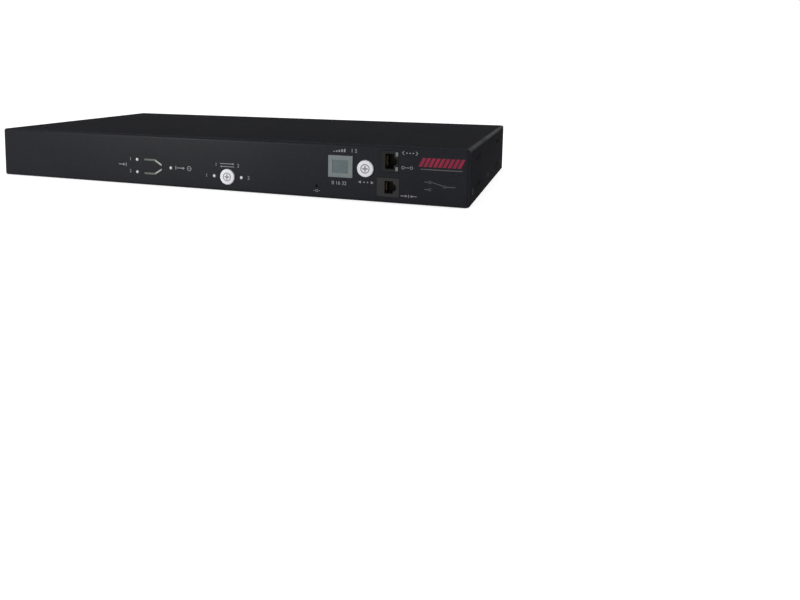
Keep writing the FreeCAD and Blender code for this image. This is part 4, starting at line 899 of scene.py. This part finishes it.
EMBLEM = [*ring(0, 0, 3.7, 0.8), cross_outline(2.2, 1.15)]
SOURCE_IN = [arrow(-4.2, 2.4, 0), rectangle(3.0, -1.6, 3.7, 1.6)]
SOCKET_OUT = [rectangle(-8.0, -1.6, -7.3, 1.6), arrow(-6.7, 1.2, 0), *ring(5.4, 0, 2.1, 0.5),
              disc(4.6, 0, 0.4), disc(6.2, 0, 0.4)]
TWO_WAY = [arrow(-6.5, 6.5, 1.2, 0.6, 0.9), arrow(6.5, -6.5, -1.2, 0.6, 0.9)]
METER_PITCH = 2.2
METER_RISE = 0.5
METER = [rectangle(-9 + METER_PITCH * step, -1.3, -7.7 + METER_PITCH * step, -0.7 + METER_RISE * step)
         for step in range(5)]
CHOOSE = [[(-6.2, 0), (-4.0, 1.2), (-4.0, -1.2)], disc(-1.4, 0, 0.6), disc(1.4, 0, 0.6),
          [(6.2, 0), (4.0, 1.2), (4.0, -1.2)]]
NETWORK = [chevron(-6.2, -4.8, 1.4, 0.5), disc(-2.4, 0, 0.5), disc(0, 0, 0.5), disc(2.4, 0, 0.5),
           chevron(6.2, 4.8, 1.4, 0.5)]
LINKED = [*ring(-3.2, 0, 1.2, 0.4), *ring(3.2, 0, 1.2, 0.4), rectangle(-1.8, -0.2, 1.8, 0.2)]
SERIAL = [arrow(-6.2, -1.0, 0, 0.6, 1.0), rectangle(-0.3, -1.2, 0.3, 1.2), arrow(6.2, 1.0, 0, 0.6, 1.0)]
RESTART = [*ring(0, 0, 1.1, 0.35), line(1.6, 0, 2.8, 0, 0.35), line(-1.6, 0, -2.8, 0, 0.35)]
CHANGEOVER = [*ring(-7.5, 2.8, 1.1, 0.4), *ring(-7.5, -2.8, 1.1, 0.4), *ring(3.6, 0, 1.1, 0.4),
              rectangle(-11.5, 2.55, -8.7, 3.05), rectangle(-11.5, -3.05, -8.7, -2.55),
              rectangle(4.8, -0.25, 11.5, 0.25), line(2.3, 0.6, -6.2, 2.9, 0.5)]
EARTH = [[(-2.0, -0.3), (2.0, -0.3), (2.0, 0.2), (0.25, 0.2), (0.25, 2.4), (-0.25, 2.4), (-0.25, 0.2),
          (-2.0, 0.2)],
         rectangle(-1.3, -1.3, 1.3, -0.8), rectangle(-0.6, -2.3, 0.6, -1.8)]
FIGURE = 2.8
SMALL_FIGURE = 2.2

# Each mark with its place on the panel, x and z in millimetres
PANEL_MARKS = [
    (-83.7, 17.0, SOURCE_IN), (-75.9, 22.1, ("1", FIGURE)), (-75.9, 11.4, ("2", FIGURE)),
    (-22.8, 16.7, SOCKET_OUT),
    (18.4, 21.6, TWO_WAY), (8.2, 21.6, ("1", FIGURE)), (28.6, 21.6, ("2", FIGURE)),
    (-0.7, 12.0, ("1", FIGURE)), (38.1, 12.0, ("2", FIGURE)),
    (97.6, 5.7, RESTART),
    (120.0, 38.8, METER), (128.0, 38.8, ("1 2", FIGURE)),
    (116.2, 12.9, ("0 16 32", FIGURE)),
    (137.9, 14.9, CHOOSE),
    (172.0, 39.2, NETWORK), (170.0, 28.0, LINKED), (171.6, 6.3, SERIAL),
]
DIM_MARKS = [(195.0, 15.2, CHANGEOVER), (195.9, 27.6, [rectangle(-15.5, -0.35, 15.5, 0.35)])]
STRIPE_PITCH = 3.6
STRIPE_SLANT = 1.6
STRIPE_HALF_WIDTH = 1.3
STRIPE_HALF_HEIGHT = 3.4
STRIPES_EACH_SIDE = 4


def stripe(x):
    """An upright bar that leans to the right."""
    left, right = x - STRIPE_HALF_WIDTH, x + STRIPE_HALF_WIDTH
    return [(left - STRIPE_SLANT, -STRIPE_HALF_HEIGHT), (right - STRIPE_SLANT, -STRIPE_HALF_HEIGHT),
            (right + STRIPE_SLANT, STRIPE_HALF_HEIGHT), (left + STRIPE_SLANT, STRIPE_HALF_HEIGHT)]


STRIPES = [stripe(STRIPE_PITCH * step) for step in range(-STRIPES_EACH_SIDE, STRIPES_EACH_SIDE + 1)]
RED_MARKS = [(195.9, 32.9, STRIPES)]


def add_panel_marks():
    for name, group, slot, ink in (("panel_marks", PANEL_MARKS, "white_cap", WHITE_INK),
                                   ("panel_dim_marks", DIM_MARKS, "white_cap", DIM_INK),
                                   ("panel_red_stripes", RED_MARKS, "breaker_red", RED_INK)):
        marks = [(x * MM, z * MM, mark) for x, z, mark in group]
        add_piece(name, printed_mesh(name, marks, PANEL_Y, to_front), slot, finish=ink)


# Display: two unlit figures of seven segments each, seen faintly in the window

FIGURE_HALF_WIDTH = 1.9
FIGURE_HALF_HEIGHT = 3.6
FIGURE_SPACING = 6.0
SEGMENT = 0.8
SEGMENT_GAP = 0.12


def level_segment(y):
    reach = FIGURE_HALF_WIDTH - SEGMENT_GAP
    half = SEGMENT / 2
    return [(-reach, y), (-reach + half, y - half), (reach - half, y - half), (reach, y),
            (reach - half, y + half), (-reach + half, y + half)]


def upright_segment(x, y):
    reach = FIGURE_HALF_HEIGHT / 2 - SEGMENT_GAP
    half = SEGMENT / 2
    return [(x, y - reach), (x + half, y - reach + half), (x + half, y + reach - half), (x, y + reach),
            (x - half, y + reach - half), (x - half, y - reach + half)]


def add_digits():
    segments = [level_segment(step * FIGURE_HALF_HEIGHT) for step in (-1, 0, 1)]
    segments += [upright_segment(side * FIGURE_HALF_WIDTH, step * FIGURE_HALF_HEIGHT / 2)
                 for side in (-1, 1) for step in (-1, 1)]
    centre = middle("display_window")
    marks = [(centre.x + side * FIGURE_SPACING / 2 * MM, centre.z, segments) for side in (-1, 1)]
    mesh = printed_mesh("display_digits", marks, low_corner("display_window").y, to_front)
    add_piece("display_digits", mesh, "display_pane", finish=UNLIT_SEGMENT)


# Rear marks: numbers on the sockets' flanges and by the breakers, and the earth sign

SOCKET_PITCH = 26 * MM
SOCKET_COUNT = 4
MARK_ABOVE_ROW = 15.0 * MM
LARGE_MARK_ABOVE_ROW = 17.2 * MM
BREAKER_MARK_ASIDE = 11 * MM
EARTH_MARK_ABOVE = 9 * MM


def add_rear_marks():
    flange_marks = []
    number = 1
    for bank in ("outlet_bank_1", "outlet_bank_2"):
        centre = middle(bank)
        for step in range(SOCKET_COUNT):
            x = centre.x + (step - (SOCKET_COUNT - 1) / 2) * SOCKET_PITCH
            flange_marks.append((x, centre.z + MARK_ABOVE_ROW, (str(number), SMALL_FIGURE)))
            number += 1
    centre = middle("large_outlet")
    flange_marks.append((centre.x, centre.z + LARGE_MARK_ABOVE_ROW, (str(number), SMALL_FIGURE)))
    for figure, inlet in (("1", "inlet_a"), ("2", "inlet_b")):
        centre = middle(inlet)
        flange_marks.append((centre.x, centre.z + LARGE_MARK_ABOVE_ROW, (figure, SMALL_FIGURE)))
    flange_y = high_corner("outlet_bank_1").y
    numbers = printed_mesh("socket_numbers", flange_marks, flange_y, to_rear)
    add_piece("socket_numbers", numbers, "white_cap", finish=WHITE_INK)
    wall_marks = []
    for figure in ("1", "2"):
        centre = middle(f"breaker_{figure}")
        wall_marks.append((centre.x + BREAKER_MARK_ASIDE, centre.z, (figure, FIGURE)))
    stud = middle("earth_stud")
    wall_marks.append((stud.x, stud.z + EARTH_MARK_ABOVE, EARTH))
    signs = printed_mesh("rear_wall_marks", wall_marks, REAR_Y, to_rear)
    add_piece("rear_wall_marks", signs, "white_cap", finish=WHITE_INK)


# Floor and light

FLOOR_SIZE = 60.0
FLOOR_DROP = 0.2 * MM
FLOOR_COLOUR = (0.86, 0.86, 0.86, 1)
FLOOR_ROUGHNESS = 0.9
FLOOR_GLOW = 0.66
AMBIENT = 0.42


def seen_directly(wiring):
    """1 for rays that show the background: from the camera, in a reflection or through glass."""
    path = wiring.add("ShaderNodeLightPath").outputs
    either = wiring.math("MAXIMUM", path["Is Camera Ray"], path["Is Glossy Ray"])
    return wiring.math("MAXIMUM", either, path["Is Transmission Ray"])


def floor_material():
    """Pale floor that looks white wherever no shadow falls."""
    material = bpy.data.materials.new("pale_floor")
    material.use_nodes = True
    wiring = Wiring(material.node_tree)
    shader = material.node_tree.nodes["Principled BSDF"].inputs
    shader["Base Color"].default_value = FLOOR_COLOUR
    shader["Roughness"].default_value = FLOOR_ROUGHNESS
    shader["Specular IOR Level"].default_value = 0.0
    shader["Emission Color"].default_value = (1, 1, 1, 1)
    glow = wiring.math("MULTIPLY", seen_directly(wiring), FLOOR_GLOW)
    material.node_tree.links.new(glow, shader["Emission Strength"])
    return material


def add_floor():
    mesh = bpy.data.meshes.new("floor")
    half = FLOOR_SIZE / 2
    mesh.from_pydata([(-half, -half, -FLOOR_DROP), (half, -half, -FLOOR_DROP), (half, half, -FLOOR_DROP),
                      (-half, half, -FLOOR_DROP)], [], [(0, 1, 2, 3)])
    floor = bpy.data.objects.new("floor", mesh)
    scene.collection.objects.link(floor)
    mesh.materials.append(floor_material())


def add_world():
    world = bpy.data.worlds.new("studio")
    scene.world = world
    world.use_nodes = True
    world.node_tree.nodes.clear()
    wiring = Wiring(world.node_tree)
    strength = wiring.add("ShaderNodeMapRange", {"Value": seen_directly(wiring), "To Min": AMBIENT,
                                                 "To Max": 1.0})
    background = wiring.add("ShaderNodeBackground", {"Color": (1, 1, 1, 1),
                                                     "Strength": strength.outputs["Result"]})
    wiring.add("ShaderNodeOutputWorld", {"Surface": background.outputs[0]})


def add_softbox(name, place, towards, size, power):
    data = bpy.data.lights.new(name, "AREA")
    data.shape = "RECTANGLE"
    data.size, data.size_y = size
    data.energy = power
    lamp = bpy.data.objects.new(name, data)
    scene.collection.objects.link(lamp)
    aim = Vector(towards) - Vector(place)
    lamp.matrix_world = Matrix.Translation(place) @ aim.to_track_quat("-Z", "Y").to_matrix().to_4x4()


def add_softboxes():
    add_softbox("key_softbox", place=(-0.42, -0.86, 0.19), towards=(-0.02, -0.12, 0.02),
                size=(0.26, 0.30), power=4.0)
    add_softbox("top_softbox", place=(0.2, 0.4, 1.9), towards=(0.0, 0.0, 0.0), size=(1.6, 1.2),
                power=9.0)


add_camera()
dress_cad_nodes()
add_buttons()
add_breaker_knobs()
add_lamps()
add_earth_stud()
add_earth_nut()
add_breaker_fasteners()
add_cover_screws()
add_panel_marks()
add_digits()
add_rear_marks()
add_floor()
add_world()
add_softboxes()
